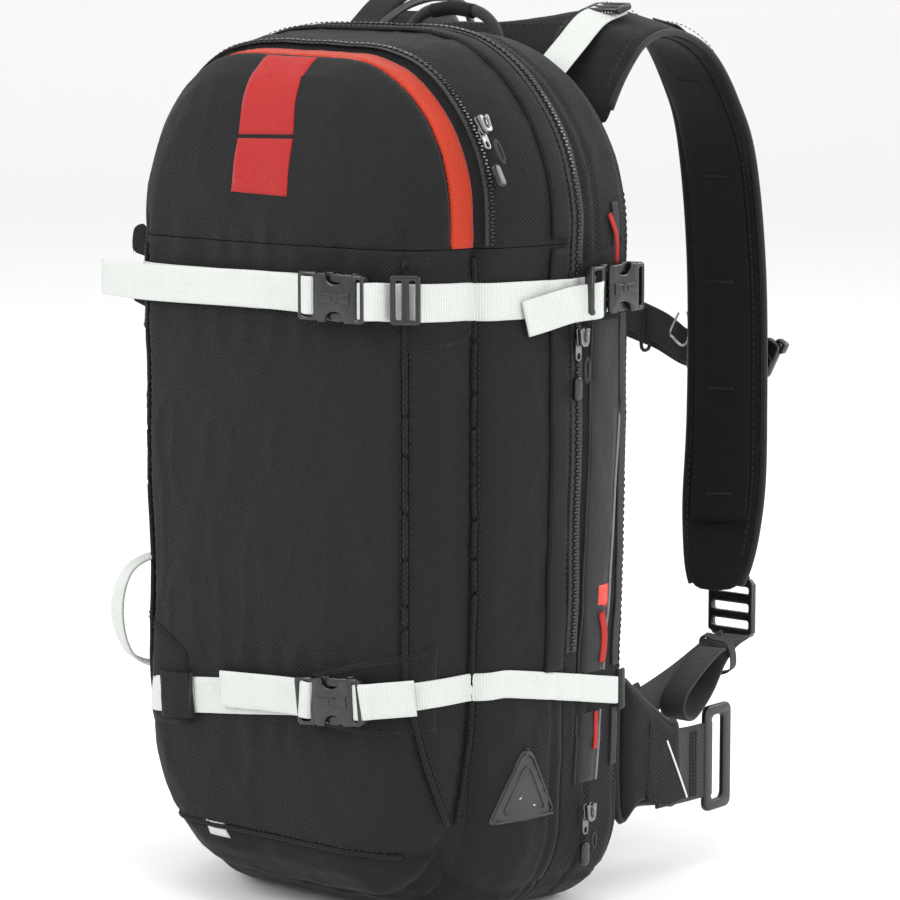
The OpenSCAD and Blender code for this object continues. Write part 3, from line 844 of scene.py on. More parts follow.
INF = 1000
G = 0.25
panel("front_panel", (-INF, -INF, -INF), (INF, -45, FOLD_Z - G), "cordura", "pack", ["lower_front"],
    "black_fabric")
panel("side_gusset", (-INF, -45, -INF), (INF, ZIP_Y - G, FOLD_Z - G), "cordura", "pack",
    slot="black_fabric")
panel("rear_panel", (-INF, ZIP_Y + G, -INF), (INF, INF, INF), "side_cloth", "pack", ["rear_shell"],
    "smooth_fabric")
panel("lid_panel", (-INF, FLAP_Y, FOLD_Z + G), (INF, ZIP_Y - G, INF), "cordura", "lid", ["lid_shell"],
    "black_fabric")
panel("edge_band", (-INF, EDGE_Y + G, FOLD_Z + G), (INF, FLAP_Y - G, INF), "red_cloth", "flap",
    ["flap_edge"], "red_fabric")
panel("flap_panel", (-INF, -INF, FOLD_Z + G), (INF, EDGE_Y - G, INF), "cordura", "flap", ["front_flap"],
    "black_fabric")


# ---------------------------------------------------------------- laying things on the bag
ROUND = [(0, -86), (60, -86), (76, -85), (88, -82), (97, -76), (104, -64)]
ROUND += [(114, -42), (124, -15), (129.5, 12), (131.2, 36), (130.6, 60), (127, 69)]
GUIDE = curve_points(ROUND, 160)
GUIDE_S = distance(GUIDE)
GUIDE_T = unit(np.gradient(GUIDE, axis=0))


def hit(point, direction):
    """The bag's surface point and outward normal that a ray meets first."""
    where, normal, _, _ = TREE.ray_cast(Vector(point), Vector(direction))
    if where is None:
        raise ValueError(f"nothing at {point}")
    where, normal = np.array(where), np.array(normal)
    return where, -normal if normal @ np.array(direction) > 0 else normal


def on_front(x, z):
    return hit((x, -300, z), Y)


def on_side(y, z, side=1):
    return hit((side * 400, y, z), (-side, 0, 0))


def on_round(s, z, side=1):
    """The surface at arc length s from the front's middle, measured level round one side, at height z."""
    x, y = (np.interp(s, GUIDE_S, GUIDE[:, k]) for k in (0, 1))
    tx, ty = (np.interp(s, GUIDE_S, GUIDE_T[:, k]) for k in (0, 1))
    return hit((side * (x + 40 * ty), y - 40 * tx, z), (-side * ty, tx, 0))


def arc_at(x=None, y=None):
    """The arc length where the guide line has that x on the front, or that y on the side."""
    if x is not None:
        return float(np.interp(abs(x), GUIDE[:60, 0], GUIDE_S[:60]))
    return float(np.interp(y, GUIDE[:, 1], GUIDE_S))


def soften(values, times=3):
    v = np.array(values, float)
    for _ in range(times):
        v[1:-1] = 0.25 * v[:-2] + 0.5 * v[1:-1] + 0.25 * v[2:]
    return v


def laid(makers, out):
    """Points out millimetres off the surface, from (point, normal) pairs, evened along the line."""
    p = np.array([m[0] for m in makers])
    n = unit(soften([m[1] for m in makers], 6))
    out = np.broadcast_to(out, len(p))
    return soften(p, 4) + n * out[:, None], n


def stitches(name, path, normals, mat, body, length=2.4, space=1.3, r=0.3, lift=0.12):
    """A row of stitches along a path on the surface."""
    path, normals = np.asarray(path, float), np.asarray(normals, float)
    dist = distance(path)
    count = max(1, int(dist[-1] / (length + space)))
    verts, faces = [], []

    def at(d, table):
        return np.array([np.interp(d, dist, table[:, k]) for k in range(3)])

    for i in range(count):
        a = (i + 0.5) * dist[-1] / count - length / 2
        p, q = at(a, path), at(a + length, path)
        n = unit(at(a + length / 2, normals))
        t = unit(q - p)
        b = np.cross(t, n)
        base = len(verts)
        for share, wide, high in ((0, 0.35, -0.2), (0.2, 1, 0.7), (0.8, 1, 0.7), (1, 0.35, -0.2)):
            c = p + (q - p) * share + n * (lift + r * high)
            verts += [c + b * r * wide, c + n * r * wide, c - b * r * wide, c - n * r * wide]
        faces += tube_faces(4, 4, base=base)
    return piece(name, verts, faces, mat, body)


def zigzag(name, centre, across, along, normal, w, rows, mat, body, pitch=1.1, h=2.0):
    """A bar tack: short stitches packed side by side."""
    centre, across, along, normal = (np.asarray(v, float) for v in (centre, across, along, normal))
    across, along, normal = unit(across), unit(along), unit(normal)
    path = []
    count = int(w / pitch)
    for r in range(rows):
        for i in range(count + 1):
            side = h / 2 * (1 if i % 2 else -1)
            path.append(centre + across * (i / count - 0.5) * w + along
                * (side + (r - (rows - 1) / 2) * h * 1.3))
    objs = []
    for r in range(rows):
        row = np.array(path[r * (count + 1) : (r + 1) * (count + 1)])
        objs.append(cord(f"{name}_{r}", row, 0.32, mat, body, side=tuple(normal), sides=6, step=0.8))
    return join(objs, name)


def orient(obj, outward):
    """Turns an open sheet's faces so that they look along outward."""
    bm = bmesh.new()
    bm.from_mesh(obj.data)
    total = sum((f.normal * f.calc_area() for f in bm.faces), Vector())
    if total.dot(Vector(outward)) < 0:
        bmesh.ops.reverse_faces(bm, faces=bm.faces)
    bm.to_mesh(obj.data)
    bm.free()


# ---------------------------------------------------------------- seams and their stitching
def seam_rows(name, makers, body, mat="thread_black", gap=3.0, sides=(1,), **kw):
    """Stitches beside a seam, gap from it on the given sides."""
    p = np.array([m[0] for m in makers])
    n = unit(soften([m[1] for m in makers], 2))
    t = unit(np.gradient(p, axis=0))
    b = np.cross(n, t)
    rows = []
    for i, s in enumerate(sides):
        q = [hit(v + w * 20, -w)[0] for v, w in zip(p + b * gap * s, n)]
        rows.append(stitches(f"{name}_{i}", q, n, mat, body, **kw))
    return join(rows, name)


for side, tag in SIDES:
    zs = np.arange(64, 368, 3.0)
    corner = [on_round(arc_at(y=float(front_seam(z))), z, side) for z in zs]
    seam_rows(f"front_seam_{tag}", corner, "pack", sides=(1, -1), gap=2.6)
    flank = [on_round(arc_at(y=float(side_seam(z))), z, side) for z in zs]
    seam_rows(f"pocket_seam_{tag}", flank, "pack", sides=(-side,), gap=2.6)
    for name, line in (("front_ridge", corner), ("pocket_ridge", flank)):
        cord(f"{name}_{tag}", soften([p + 1.3 * n for p, n in line], 2), 1.5, "side_cloth", "pack", sides=8,
            step=3)
    back = [on_round(arc_at(y=62.0), z, side) for z in np.arange(70, 400, 3.0)]
    seam_rows(f"back_seam_{tag}", back, "pack", sides=(-side,), gap=3)
front_base = [on_round(arc_at(x=x), float(base_height(-86)), 1 if x > 0 else -1)
    for x in np.arange(-84, 85, 3.0) if x]
seam_rows("base_seam", front_base, "pack", sides=(1, -1), gap=2.4)
cord("base_ridge", soften([p + 1.2 * n for p, n in front_base], 2), 1.4, "side_cloth", "pack", sides=8,
    step=3)


# ---------------------------------------------------------------- buckles
def bitten(length, half, bite, start, stop):
    """A plate's outline, length by 2 half, with a round bite out of each long side."""
    top = [(0, half - 1.5), (1.5, half), (start - 1, half)]
    for a in np.linspace(0, math.pi, 13):
        top.append(((start + stop) / 2 - (stop - start) / 2 * math.cos(a),
            half - bite * math.sin(a) ** 0.7))
    top += [(stop + 1, half), (length - 1.5, half), (length, half - 1.5)]
    return [(x, -y) for x, y in top] + list(reversed(top))


def shifted(m, x=0.0, y=0.0, z=0.0):
    return m @ Matrix.Translation(Vector((x, y, z)) * MM)


def socket(name, m, body, **kw):
    """A side-release buckle's socket, x 0 to 32: two bitten plates and an end with a slot for webbing."""
    shell = bitten(26, 13, 5.8, 6.5, 19.5)
    parts = [plate(f"{name}_a", [shell], 2.3, shifted(m, z=3.4), "plastic", body, bevel=0.8)]
    parts.append(plate(f"{name}_b", [shell], 2.3, shifted(m, z=-3.4), "plastic", body, bevel=0.8))
    end = rounded_rect(8.5, 26, 2.2, centre=(27.7, 0))
    slot = rounded_rect(2.8, 20.6, 1.2, centre=(28.4, 0))
    parts.append(plate(f"{name}_c", [end, slot], 8.6, m, "plastic", body, bevel=1.2))
    for y in (-1, 1):
        spine = rounded_rect(22, 1.6, 0.7, centre=(13, y * 4.2))
        parts.append(plate(f"{name}_s{y + 1}", [spine], 5.4, m, "plastic", body, bevel=0.3))
    ridge = [(4, -3.2), (8, -2.2), (19, -2.2), (23.5, -3.2), (23.5, 3.2), (19, 2.2), (8, 2.2), (4, 3.2)]
    parts.append(plate(f"{name}_r", [ridge], 0.9, shifted(m, z=4.75), "plastic", body, bevel=0.35))
    rim = rounded_rect(5.4, 5.4, 2.6, centre=(13.5, 0))
    hole = rounded_rect(3.6, 3.6, 1.7, centre=(13.5, 0))
    parts.append(plate(f"{name}_o", [rim, hole], 0.7, shifted(m, z=5.2), "plastic", body, bevel=0.25))
    return settle(join(parts, name), body, **kw)


def plug(name, m, body, **kw):
    """The plug that fits it: a bar and a window for the webbing, a guide and two sprung arms."""
    frame_loop = [(-14, -11.5), (-12.5, -13), (-2, -13), (-0.5, -11.5), (-0.5, 11.5), (-2, 13), (-12.5, 13),
        (-14, 11.5)]
    window = rounded_rect(6.6, 21, 1.2, centre=(-7.7, 0))
    parts = [plate(f"{name}_a", [frame_loop, window], 5.4, m, "plastic", body, bevel=1.1)]
    parts.append(plate(f"{name}_g", [rounded_rect(19, 4.6, 1.5, centre=(8.2, 0))], 3.6, m, "plastic", body,
        bevel=0.6))
    for y in (-1, 1):
        arm = [(-1, 9.6), (5, 10.2), (8, 12.4), (13, 12.9), (17.6, 12.2), (19.8, 9.6), (19.4, 7.2),
            (16, 7.6), (8, 7.4), (-1, 6.6)]
        loop = [(x, y * v) for x, v in arm]
        parts.append(plate(f"{name}_p{y + 1}", [loop if y > 0 else loop[::-1]], 3.8, m, "plastic", body,
            bevel=0.7))
    return settle(join(parts, name), body, **kw)


BUCKLE_OUT = 9.1
upper_at = placed((47, -86 - BUCKLE_OUT, UPPER_Z), X, Z)
lower_at = placed((44, -86 - BUCKLE_OUT, low_z(44, -86)), (1, 0, 0.11), (-0.11, 0, 1))
socket("upper_socket", upper_at, "pack", replaces=["upper_buckle_socket"], slot="black_plastic")
plug("upper_plug_piece", upper_at, "upper_plug", replaces=["upper_buckle_plug"], slot="black_plastic")
socket("lower_socket", lower_at, "pack", replaces=["lower_buckle_socket"], slot="black_plastic")
plug("lower_plug_piece", lower_at, "lower_plug", replaces=["lower_buckle_plug"], slot="black_plastic")
pair = []
for side, tag in SIDES:
    # y runs down on the right, so that the plate's z looks outward
    m = placed((side * (131.2 + BUCKLE_OUT), 28, UPPER_Z), Y, (0, 0, side))
    pair.append(socket(f"side_socket_{tag}", m, "pack"))
    plug(f"side_plug_piece_{tag}", m, f"side_plug_{tag}", replaces=[f"side_buckle_plug_{tag}"],
        slot="black_plastic")
settle(join(pair, "side_sockets"), "pack", ["side_buckle_sockets"], "black_plastic")

tri_at = placed((95.3, -83.2, UPPER_Z), (0.866, 0.5, 0), Z)
loops = [rounded_rect(16, 26, 2)] + [rounded_rect(3.4, 20.6, 1.2, centre=(x, 0)) for x in (-3.6, 3.6)]
plate("triglide", loops, 3.2, shifted(tri_at, z=2.6), "plastic", "pack", bevel=0.9,
    replaces=["strap_slider"], slot="black_plastic")


# ---------------------------------------------------------------- compression straps
def strap_path(s0, s1, z_of, out, side=1, count=70):
    """Points round the bag between two arc lengths, out off the cloth."""
    makers, outs = [], []
    for s in np.linspace(s0, s1, count):
        x, y = (float(np.interp(s, GUIDE_S, GUIDE[:, k])) for k in (0, 1))
        makers.append(on_round(s, z_of(side * x, y), side))
        outs.append(out(s) if callable(out) else out)
    return laid(makers, np.array(outs))[0]


def level(x, y):
    return UPPER_Z - 3.5 * np.clip((x - 40) / 90, 0, 1)


OUT = 1.7
END = GUIDE_S[-1] - 9
# upper left: from the back edge to the buckle, round its bar and back as a long loose tail
under = strap_path(END, arc_at(x=6), level, OUT, -1, 90)
turn = [(20, -88.2), (33, -90.2), (38, -92.2), (43.2, -93.8), (44.6, -96), (42.6, -98.2), (38.6, -98.6),
    (35.5, -96.6), (31, -93.9), (24, -92)]
loop = [(x, y, UPPER_Z + 0.4) for x, y in turn]
tail = [(0, -91), (-30, -90.8), (-60, -90.4), (-84, -88.4), (-104, -83), (-120, -77), (-131, -74.2)]
over = [(x, y, UPPER_Z + 0.6 - 1.8 * min(1, max(0, -x) / 130)) for x, y in tail]
ribbon("upper_left_web", [*under, *loop, *over], 20, 1.5, Z, "white_web", "pack", step=2,
    replaces=["upper_strap_left"], slot="white_webbing")
# upper right: sewn to the socket, through the triglide, round to the side plug, where a short tail comes back
fold = [(74.5, -97.4), (77.5, -97.9), (80.5, -96.2), (84, -92.6)]
COVER = arc_at(y=3.6)  # where the strap crosses the zip's raised cover


def over_cover(s):
    return OUT + 2.4 * math.exp(-(((s - arc_at(y=-78)) / 9) ** 2)) + 2.3 / (1 + (abs(s - COVER) / 9) ** 12)


right = strap_path(arc_at(x=86), arc_at(y=25), level, over_cover, 1, 120)
ribbon("upper_right_web", [*[(x, y, UPPER_Z - 1) for x, y in fold], *right], 20, 1.5, Z, "white_web",
    "pack", step=2, replaces=["upper_strap_right"], slot="white_webbing")
ribbon("upper_right_rear_web", strap_path(arc_at(y=30), END, level, OUT, 1, 20), 20, 1.5, Z, "white_web",
    "pack", step=2)
wrap = [(138.5, 24.8), (141.6, 24.6), (143.6, 21.5), (142.2, 17.4), (139.4, 13.8)]
tail = [(*xy, UPPER_Z - 4 - 0.5 * i) for i, xy in enumerate(wrap)]
tail += [(136.8, 4, 340.2), (133.4, -8, 337.8), (129.8, -17, 335.6), (127.2, -23.2, 334.2)]
drop = [(0, 0.02 * i, 1) for i in range(len(tail))]
ribbon("upper_right_tail", tail, 19.4, 1.5, drop, "white_web", "side_plug_right", step=1.5)
# lower: wide webbing on the left, narrow on the right
far = strap_path(END, arc_at(x=6), low_z, OUT, -1, 90)
turn = [(16, -88.2), (28, -90.2), (34, -92.2), (40.2, -93.8), (41.6, -96), (39.6, -98.2), (35.6, -98.6),
    (32.5, -96.6), (28, -93.9), (20, -92.2), (4, -91.2), (-14, -91), (-30, -90.6)]
loop = [(x, y, low_z(x, -86) + (0.4 if i < 6 else 1.5 + 0.05 * (28 - x))) for i, (x, y) in enumerate(turn)]
ribbon("lower_left_web", [*far, *loop], 20, 1.5, (0.11, 0, 1), "white_web", "pack", step=2,
    replaces=["lower_strap_left"], slot="white_webbing")
fold = [(70.5, -97.4), (74.5, -97.9), (78.5, -96.2), (83, -92.4), (90, -87.4), (99, -80.6)]
ribbon("lower_right_fold", [(x, y, low_z(x, -86)) for x, y in fold], 19.6, 1.9, (0.11, 0, 1), "white_web",
    "pack", step=1.5)
right = strap_path(arc_at(x=88), END, low_z, OUT, 1, 100)
ribbon("lower_right_web", right, 15, 1.5, Z, "white_web", "pack", step=2, replaces=["lower_strap_right"],
    slot="white_webbing")


# ---------------------------------------------------------------- patches sewn on the cloth
def applique(name, make, loop, out, mat, body, grid=5.0, inset=0.9, thick=0.9, **kw):
    """A flat shape laid on the surface. loop is its outline; make(a, b) gives a point and its normal."""
    loop = np.array(loop, float)
    bm = bmesh.new()
    face = bm.faces.new([bm.verts.new((a, b, 0)) for a, b in loop])
    bmesh.ops.inset_region(bm, faces=[face], thickness=inset)
    for axis in (0, 1):
        low, high = loop[:, axis].min(), loop[:, axis].max()
        for v in np.arange(math.ceil(low / grid) * grid, high, grid):
            at, normal = [0, 0, 0], [0, 0, 0]
            at[axis], normal[axis] = v, 1
            bmesh.ops.bisect_plane(bm, geom=bm.verts[:] + bm.edges[:] + bm.faces[:], dist=1e-3, plane_co=at,
                plane_no=normal)
    ends = np.roll(loop, -1, 0)
    normals = []
    for v in bm.verts:
        q = np.array(v.co[:2])
        t = np.clip(((q - loop) * (ends - loop)).sum(1) / ((ends - loop) ** 2).sum(1), 0, 1)
        near = np.linalg.norm(loop + t[:, None] * (ends - loop) - q, axis=1).min()
        p, n = make(*q)
        normals.append(n)
        v.co = Vector((p + n * out * (0.3 + 0.7 * min(1, near / inset))) * MM)
    mesh = bpy.data.meshes.new(name)
    bmesh.ops.triangulate(bm, faces=[f for f in bm.faces if len(f.verts) > 4])
    bm.to_mesh(mesh)
    bm.free()
    mesh.materials.append(MAT[mat])
    mesh.polygons.foreach_set("use_smooth", [True] * len(mesh.polygons))
    obj = bpy.data.objects.new(name, mesh)
    scene.collection.objects.link(obj)
    orient(obj, np.mean(normals, 0))
    modify(obj, "SOLIDIFY", thickness=thick * MM, offset=-1)
    apply_all(obj)
    return settle(obj, body, **kw)


def sewn(name, make, line, body, mat="thread_black", **kw):
    """Stitches along a line of (a, b) points on the surface."""
    line = np.array(line, float)
    dist = distance(line)
    at = np.arange(0, dist[-1], 2.5)
    made = [make(np.interp(d, dist, line[:, 0]), np.interp(d, dist, line[:, 1])) for d in at]
    return stitches(name, [m[0] for m in made], [m[1] for m in made], mat, body, lift=kw.pop("lift", 1.0),
        **kw)


def round_corners(points, r=3.0, n=4):
    """The same polygon with its corners rounded."""
    pts = [np.array(p, float) for p in points]
    out = []
    for i, p in enumerate(pts):
        a, b = unit(pts[i - 1] - p), unit(pts[(i + 1) % len(pts)] - p)
        for t in np.linspace(0, 1, n):
            out.append(tuple(p + a * r * (1 - t) ** 2 + b * r * t**2))
    return out


def by_arc(side):
    return lambda s, z: on_round(s, z, side)


def by_side(side):
    return lambda y, z: on_side(y, z, side)


# red stripe down the middle of the flap, in a long patch and a short one
def over_flap(x, z):
    """The surface in front of (x, z); past the front's top edge it goes on over the arch."""
    if z < 445:
        return on_front(x, z)
    return hit((x, -286, 645 + (z - 445) * 1.35), (0, 1, -1))


applique("stripe_long", over_flap, [(-18.5, 429), (19.5, 430), (17.5, 481), (-17, 481)], 0.45,
    "stripe_cloth", "flap", grid=3, inset=0.5, thick=0.6, slot="red_fabric")
applique("stripe_short", over_flap, [(-21.5, 398.5), (18, 397.5), (19.5, 427.8), (-18.7, 427)], 0.45,
    "stripe_cloth", "flap", grid=3, inset=0.5, thick=0.6)

for side, tag in SIDES:
    arc = by_arc(side)
    a = arc_at(x=90)
    # wings above and below the upper strap on the front corner, ending in the pocket seam
    e = arc_at(y=-45)
    top = [(a, 368), (a + 12, 366.5), (a + 30, 363), (e - 3, 358), (e, 352), (e, 348), (a, 348)]
    applique(f"wing_front_top_{tag}", arc, top, 1.2, "cordura", "pack")
    sewn(f"wing_front_top_stitch_{tag}", arc, [(a + 2, 365.5), (a + 14, 363.8), (a + 30, 360),
        (e - 4, 355)], "pack", r=0.22, lift=1.4, length=1.2, space=1.6)
    bottom = [(a, 346), (e, 346), (e, 330), (e - 4, 325), (a + 22, 320), (a, 318)]
    applique(f"wing_front_low_{tag}", arc, bottom, 1.2, "cordura", "pack")
    sewn(f"wing_front_low_stitch_{tag}", arc, [(a + 2, 320.5), (a + 20, 322.5), (e - 6, 327.5),
        (e - 2, 332)], "pack", r=0.22, lift=1.4, length=1.2, space=1.6)
    # wings behind the side buckle
    b, c = arc_at(y=9), arc_at(y=61)
    top = round_corners([(b, 350), (b + 3, 359), (b + 16, 364), (c, 373), (c, 346), (b, 346)], 2.5)
    applique(f"wing_side_top_{tag}", arc, top, 1.3, "smooth", "pack")
    bottom = round_corners([(b, 346), (c, 346), (c, 327), (b + 20, 328), (b, 333)], 2.5)
    applique(f"wing_side_low_{tag}", arc, bottom, 1.3, "smooth", "pack")
    sewn(f"wing_side_stitch_{tag}", arc, [(b + 3, 333), (b + 20, 330.5), (c - 4, 329.5)], "pack", r=0.25,
        lift=1.5)

# triangular wings where the lower strap's buckle and its left end are sewn in
left = by_arc(-1)
u, v = arc_at(x=94), arc_at(x=58)
applique("wing_low_left", left, [(u + 16, 166), (u, 160), (v + 14, 152), (v, 144), (v - 3, 132),
    (v - 3, 104), (v + 8, 101), (u, 100), (u + 16, 99)], 1.3, "cordura", "pack")
sewn("wing_low_left_stitch", left, [(u + 12, 162), (u, 156.5), (v + 14, 148.5), (v + 3, 142), (v, 132),
    (v, 108)], "pack", r=0.25, lift=1.6)
right = by_arc(1)
p0, p1, p2 = arc_at(x=34), arc_at(x=66), arc_at(y=-66)
applique("wing_low_right", right, [(p0, 143), (p1, 153), (p2 - 4, 163), (p2, 163), (p2, 116), (p1, 114),
    (p0, 116)], 1.2, "cordura", "pack")
sewn("wing_low_right_stitch", right, [(p0 + 3, 141), (p1, 150), (p2 - 5, 159.5)], "pack", r=0.25, lift=1.5)
sewn("wing_low_right_stitch_b", right, [(p0 + 3, 118.5), (p1, 116.5), (p2 - 4, 118)], "pack", r=0.25,
    lift=1.5)

# white tab in the base seam
tab_z = float(base_height(-86))
applique("base_tab", on_front, [(-51, tab_z + 2), (-37, tab_z + 2), (-34, tab_z - 6.5), (-48, tab_z - 6)],
    1.0, "white_web", "pack", grid=3, inset=0.5, thick=0.8)


# ---------------------------------------------------------------- side bands, burst lines and the badge
def band_edges(z):
    """The front and back edges of the smooth band on the side, at height z."""
    t = (z - 120) / 177
    return 25.5 + 4.5 * t, 43.5 + 11.5 * t


for side, tag in SIDES:
    make = by_side(side)
    split = float(low_z(side * 128, 44))
    parts = []
    for k, (z0, z1) in enumerate(((split - 50, split - 11), (split + 11, 333))):
        zs = np.linspace(z0, z1, 12)
        loop = [(band_edges(z)[0], z) for z in zs] + [(band_edges(z)[1], z) for z in zs[::-1]]
        parts.append(applique(f"band_{tag}_{k}", make, loop, 0.9, "band", "pack", grid=6, inset=0.6,
            thick=0.8))
        for e, name in ((0, "front"), (1, "back")):
            line = [(band_edges(z)[e] + (1.2 if e else -1.2), z) for z in zs]
            pts = [make(*q) for q in line]
            r = cord(f"piping_{tag}_{name}_{k}", [p + n * 0.5 for p, n in pts], 0.75,
                "grey_edge" if e else "tape_dark", "pack", side=Y, sides=8)
    join(parts, f"side_band_{tag}")
    # the line that bursts open: a dark covered zip with red tape where it shows
    parts = []
    for k, (z0, z1) in enumerate(((split - 44, split - 12), (split + 12, 334), (358, 392))):
        pts = [make(57 if k < 2 else 50.5, z) for z in np.linspace(z0, z1, 24)]
        parts.append(ribbon(f"burst_tape_{tag}_{k}", [p + n * 0.9 for p, n in pts], 5.5, 1.2, Y, "zip_tape",
            "pack"))
    join(parts, f"burst_tape_{tag}")
    red = [(40.9, 169), (43.6, 160), (44, 150), (42.5, 141)]
    pts = [make(*q) for q in curve_points(red, 20)]
    ribbon(f"burst_red_{tag}", [p + n * 1.5 for p, n in pts], 5.2, 1.0, (0, 1, 0.15), "stripe_cloth",
        "pack")
    pts = [make(38.5, z) for z in np.linspace(split - 10 - 22, split - 11, 14)]
    ribbon(f"burst_red_low_{tag}", [p + n * 1.5 for p, n in pts], 3.4, 1.0, Y, "stripe_cloth", "pack")
    pts = [make(y, z) for y, z in curve_points([(50.8, 359), (51.2, 368), (49, 376), (44, 386)], 20)]
    ribbon(f"burst_red_top_{tag}", [p + n * 1.7 for p, n in pts], 3.2, 1.0, Y, "stripe_cloth", "pack")
    applique(f"band_mark_{tag}", make, [(37.6, 172.5), (47.4, 171), (47.9, 184), (38.1, 185)], 1.5,
        "mark_red", "pack", grid=3, inset=0.3, thick=0.4)
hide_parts("side_bands")
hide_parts("burst_zips")


def badge():
    """A rubber badge: a rounded triangle with a raised rim and three plain raised chevrons."""
    side = by_side(1)
    centre = (-15.5, 80)
    outer = [(-23, -18), (23, -18), (3, 22), (-3, 22)]

    def local(points, r):
        return [(centre[0] + y, centre[1] + z) for y, z in round_corners(points, r, 6)]

    parts = [applique("badge_base", side, local(outer, 5), 1.6, "rubber", "pack", grid=4, inset=1.0,
        thick=1.4)]
    for k, scale in enumerate((0.9, 0.62)):
        ring = [(y * scale, (z + 4) * scale - 4) for y, z in outer]
        pts = [side(*q) for q in local(ring, 5 * scale)]
        pts = curve_points([p + n * 1.9 for p, n in pts], 60, True)
        parts.append(sweep(f"badge_rim_{k}", pts, round_section(0.7 if k == 0 else 0.5, 8), X, "rubber",
            "pack", closed=True))
    for k in range(3):
        z = -11.5 + 4.4 * k
        w = 8.6 - 2.2 * k
        mark = [(-w, z), (0, z + 3.2), (w, z), (w, z + 1.5), (0, z + 4.7), (-w, z + 1.5)]
        parts.append(applique(f"badge_mark_{k}", side, [(centre[0] + y, centre[1] + q) for y, q in mark],
            2.2, "mark_white", "pack", grid=5, inset=0.3, thick=0.6))
    settle(join(parts, "badge"), "pack", ["rubber_badge"], "black_rubber")


badge()


# ---------------------------------------------------------------- zips, pleats and pullers
def arch_path(y, low, out=0.0, side=None):
    """The line where the surface crosses the plane at y: up one side, over the top, down the other."""
    makers = []
    zs = np.linspace(low, 370, 50)
    if side in (None, 1):
        makers += [on_side(y, z, 1) for z in zs]
    if side is None or side == 0:
        for a in np.linspace(0, math.pi, 90):
            d = np.array([math.cos(a), 0, math.sin(a)])
            makers.append(hit(np.array([0, y, 371]) + d * 400 * np.array([1, 0, 1]), -d))
    if side is None:
        makers += [on_side(y, z, -1) for z in zs[::-1]]
    if side == -1:
        makers += [on_side(y, z, -1) for z in zs]
    p = np.array([m[0] for m in makers])
    n = unit(np.array([m[1] for m in makers]) * (1, 0, 1) + np.array([1e-6, 0, 0]))
    return soften(p, 3) + n * out, n


def chain(name, path, normals, body, mat="plastic", pitch=1.9, w=3.4, h=1.5, **kw):
    """Zip teeth along a line, alternately from each side."""
    dist = distance(path)
    tan = unit(np.gradient(path, axis=0))
    verts, faces = [], []
    for i in range(int(dist[-1] / pitch)):
        d = (i + 0.5) * pitch
        p, n, t = (np.array([np.interp(d, dist, q[:, k]) for k in range(3)]) for q in (path, normals, tan))
        t = unit(t)
        b = np.cross(t, n)
        s = 1 if i % 2 else -1
        base = len(verts)
        for z, shrink_by in ((0, 1), (0.65, 1), (1, 0.6)):
            for x, y in ((-1, -1), (1, -1), (1, 1), (-1, 1)):
                verts.append(p + t * x * pitch * 0.36 * shrink_by + b
                    * (s * w * 0.14 + y * w * 0.4 * shrink_by) + n * h * z)
        wall, top = tube_faces(3, 4, base=base)[:8], tube_faces(3, 4, base=base)[9:]
        faces += wall + top
    return piece(name, verts, faces, mat, body, smooth=False, **kw)


parts = []
for part, (side, body) in enumerate(((1, "pack"), (0, "lid"), (-1, "pack"))):
    low = 142 if side >= 0 else 128
    path, n = arch_path(3.6, low, side=side, out=0.9)
    if side:
        path, n = path[path[:, 2] < FOLD_Z - 0.5], n[: (path[:, 2] < FOLD_Z - 0.5).sum()]
    else:
        keep = path[:, 2] > FOLD_Z + 0.3
        path, n = path[keep], n[keep]
    rib = [(-7.4, 0), (-7.2, 0.9), (-6, 1.5), (-3, 1.9), (0, 2.0), (3, 1.9), (6, 1.5), (7.2, 0.9), (7.4, 0),
        (7.2, -0.4), (0, -0.6), (-7.2, -0.4)]
    sweep(f"zip_cover_{part}", path, rib, Y, "smooth", body)
    for k, y in enumerate((-2.2, 9.4)):
        edge, en = arch_path(y, low, side=side, out=2.2)
        keep = edge[:, 2] < FOLD_Z - 0.5 if side else edge[:, 2] > FOLD_Z + 0.3
        stitches(f"zip_cover_stitch_{part}_{k}", edge[keep], en[keep], "thread_black", body, r=0.28,
            lift=0.1)
path, n = arch_path(17.5, 150, out=0.35)
tape = sweep("main_zip_tape", path, tape_section(9.5, 0.7), Y, "zip_tape", "pack")
teeth = chain("main_zip_teeth", path + n * 0.3, n, "pack")
settle(join([tape, teeth], "main_zip_piece"), "pack", ["main_zip"], "zip_metal")
path, n = arch_path(-39.6, FOLD_Z + 2, out=0.3)
keep = path[:, 2] > FOLD_Z + 1.6
tape = sweep("pocket_zip_tape", path[keep], tape_section(9, 0.7), Y, "zip_tape", "lid")
teeth = chain("pocket_zip_teeth", path[keep] + n[keep] * 0.3, n[keep], "lid")
settle(join([tape, teeth], "pocket_zip_piece"), "lid", ["pocket_zip"], "zip_metal")


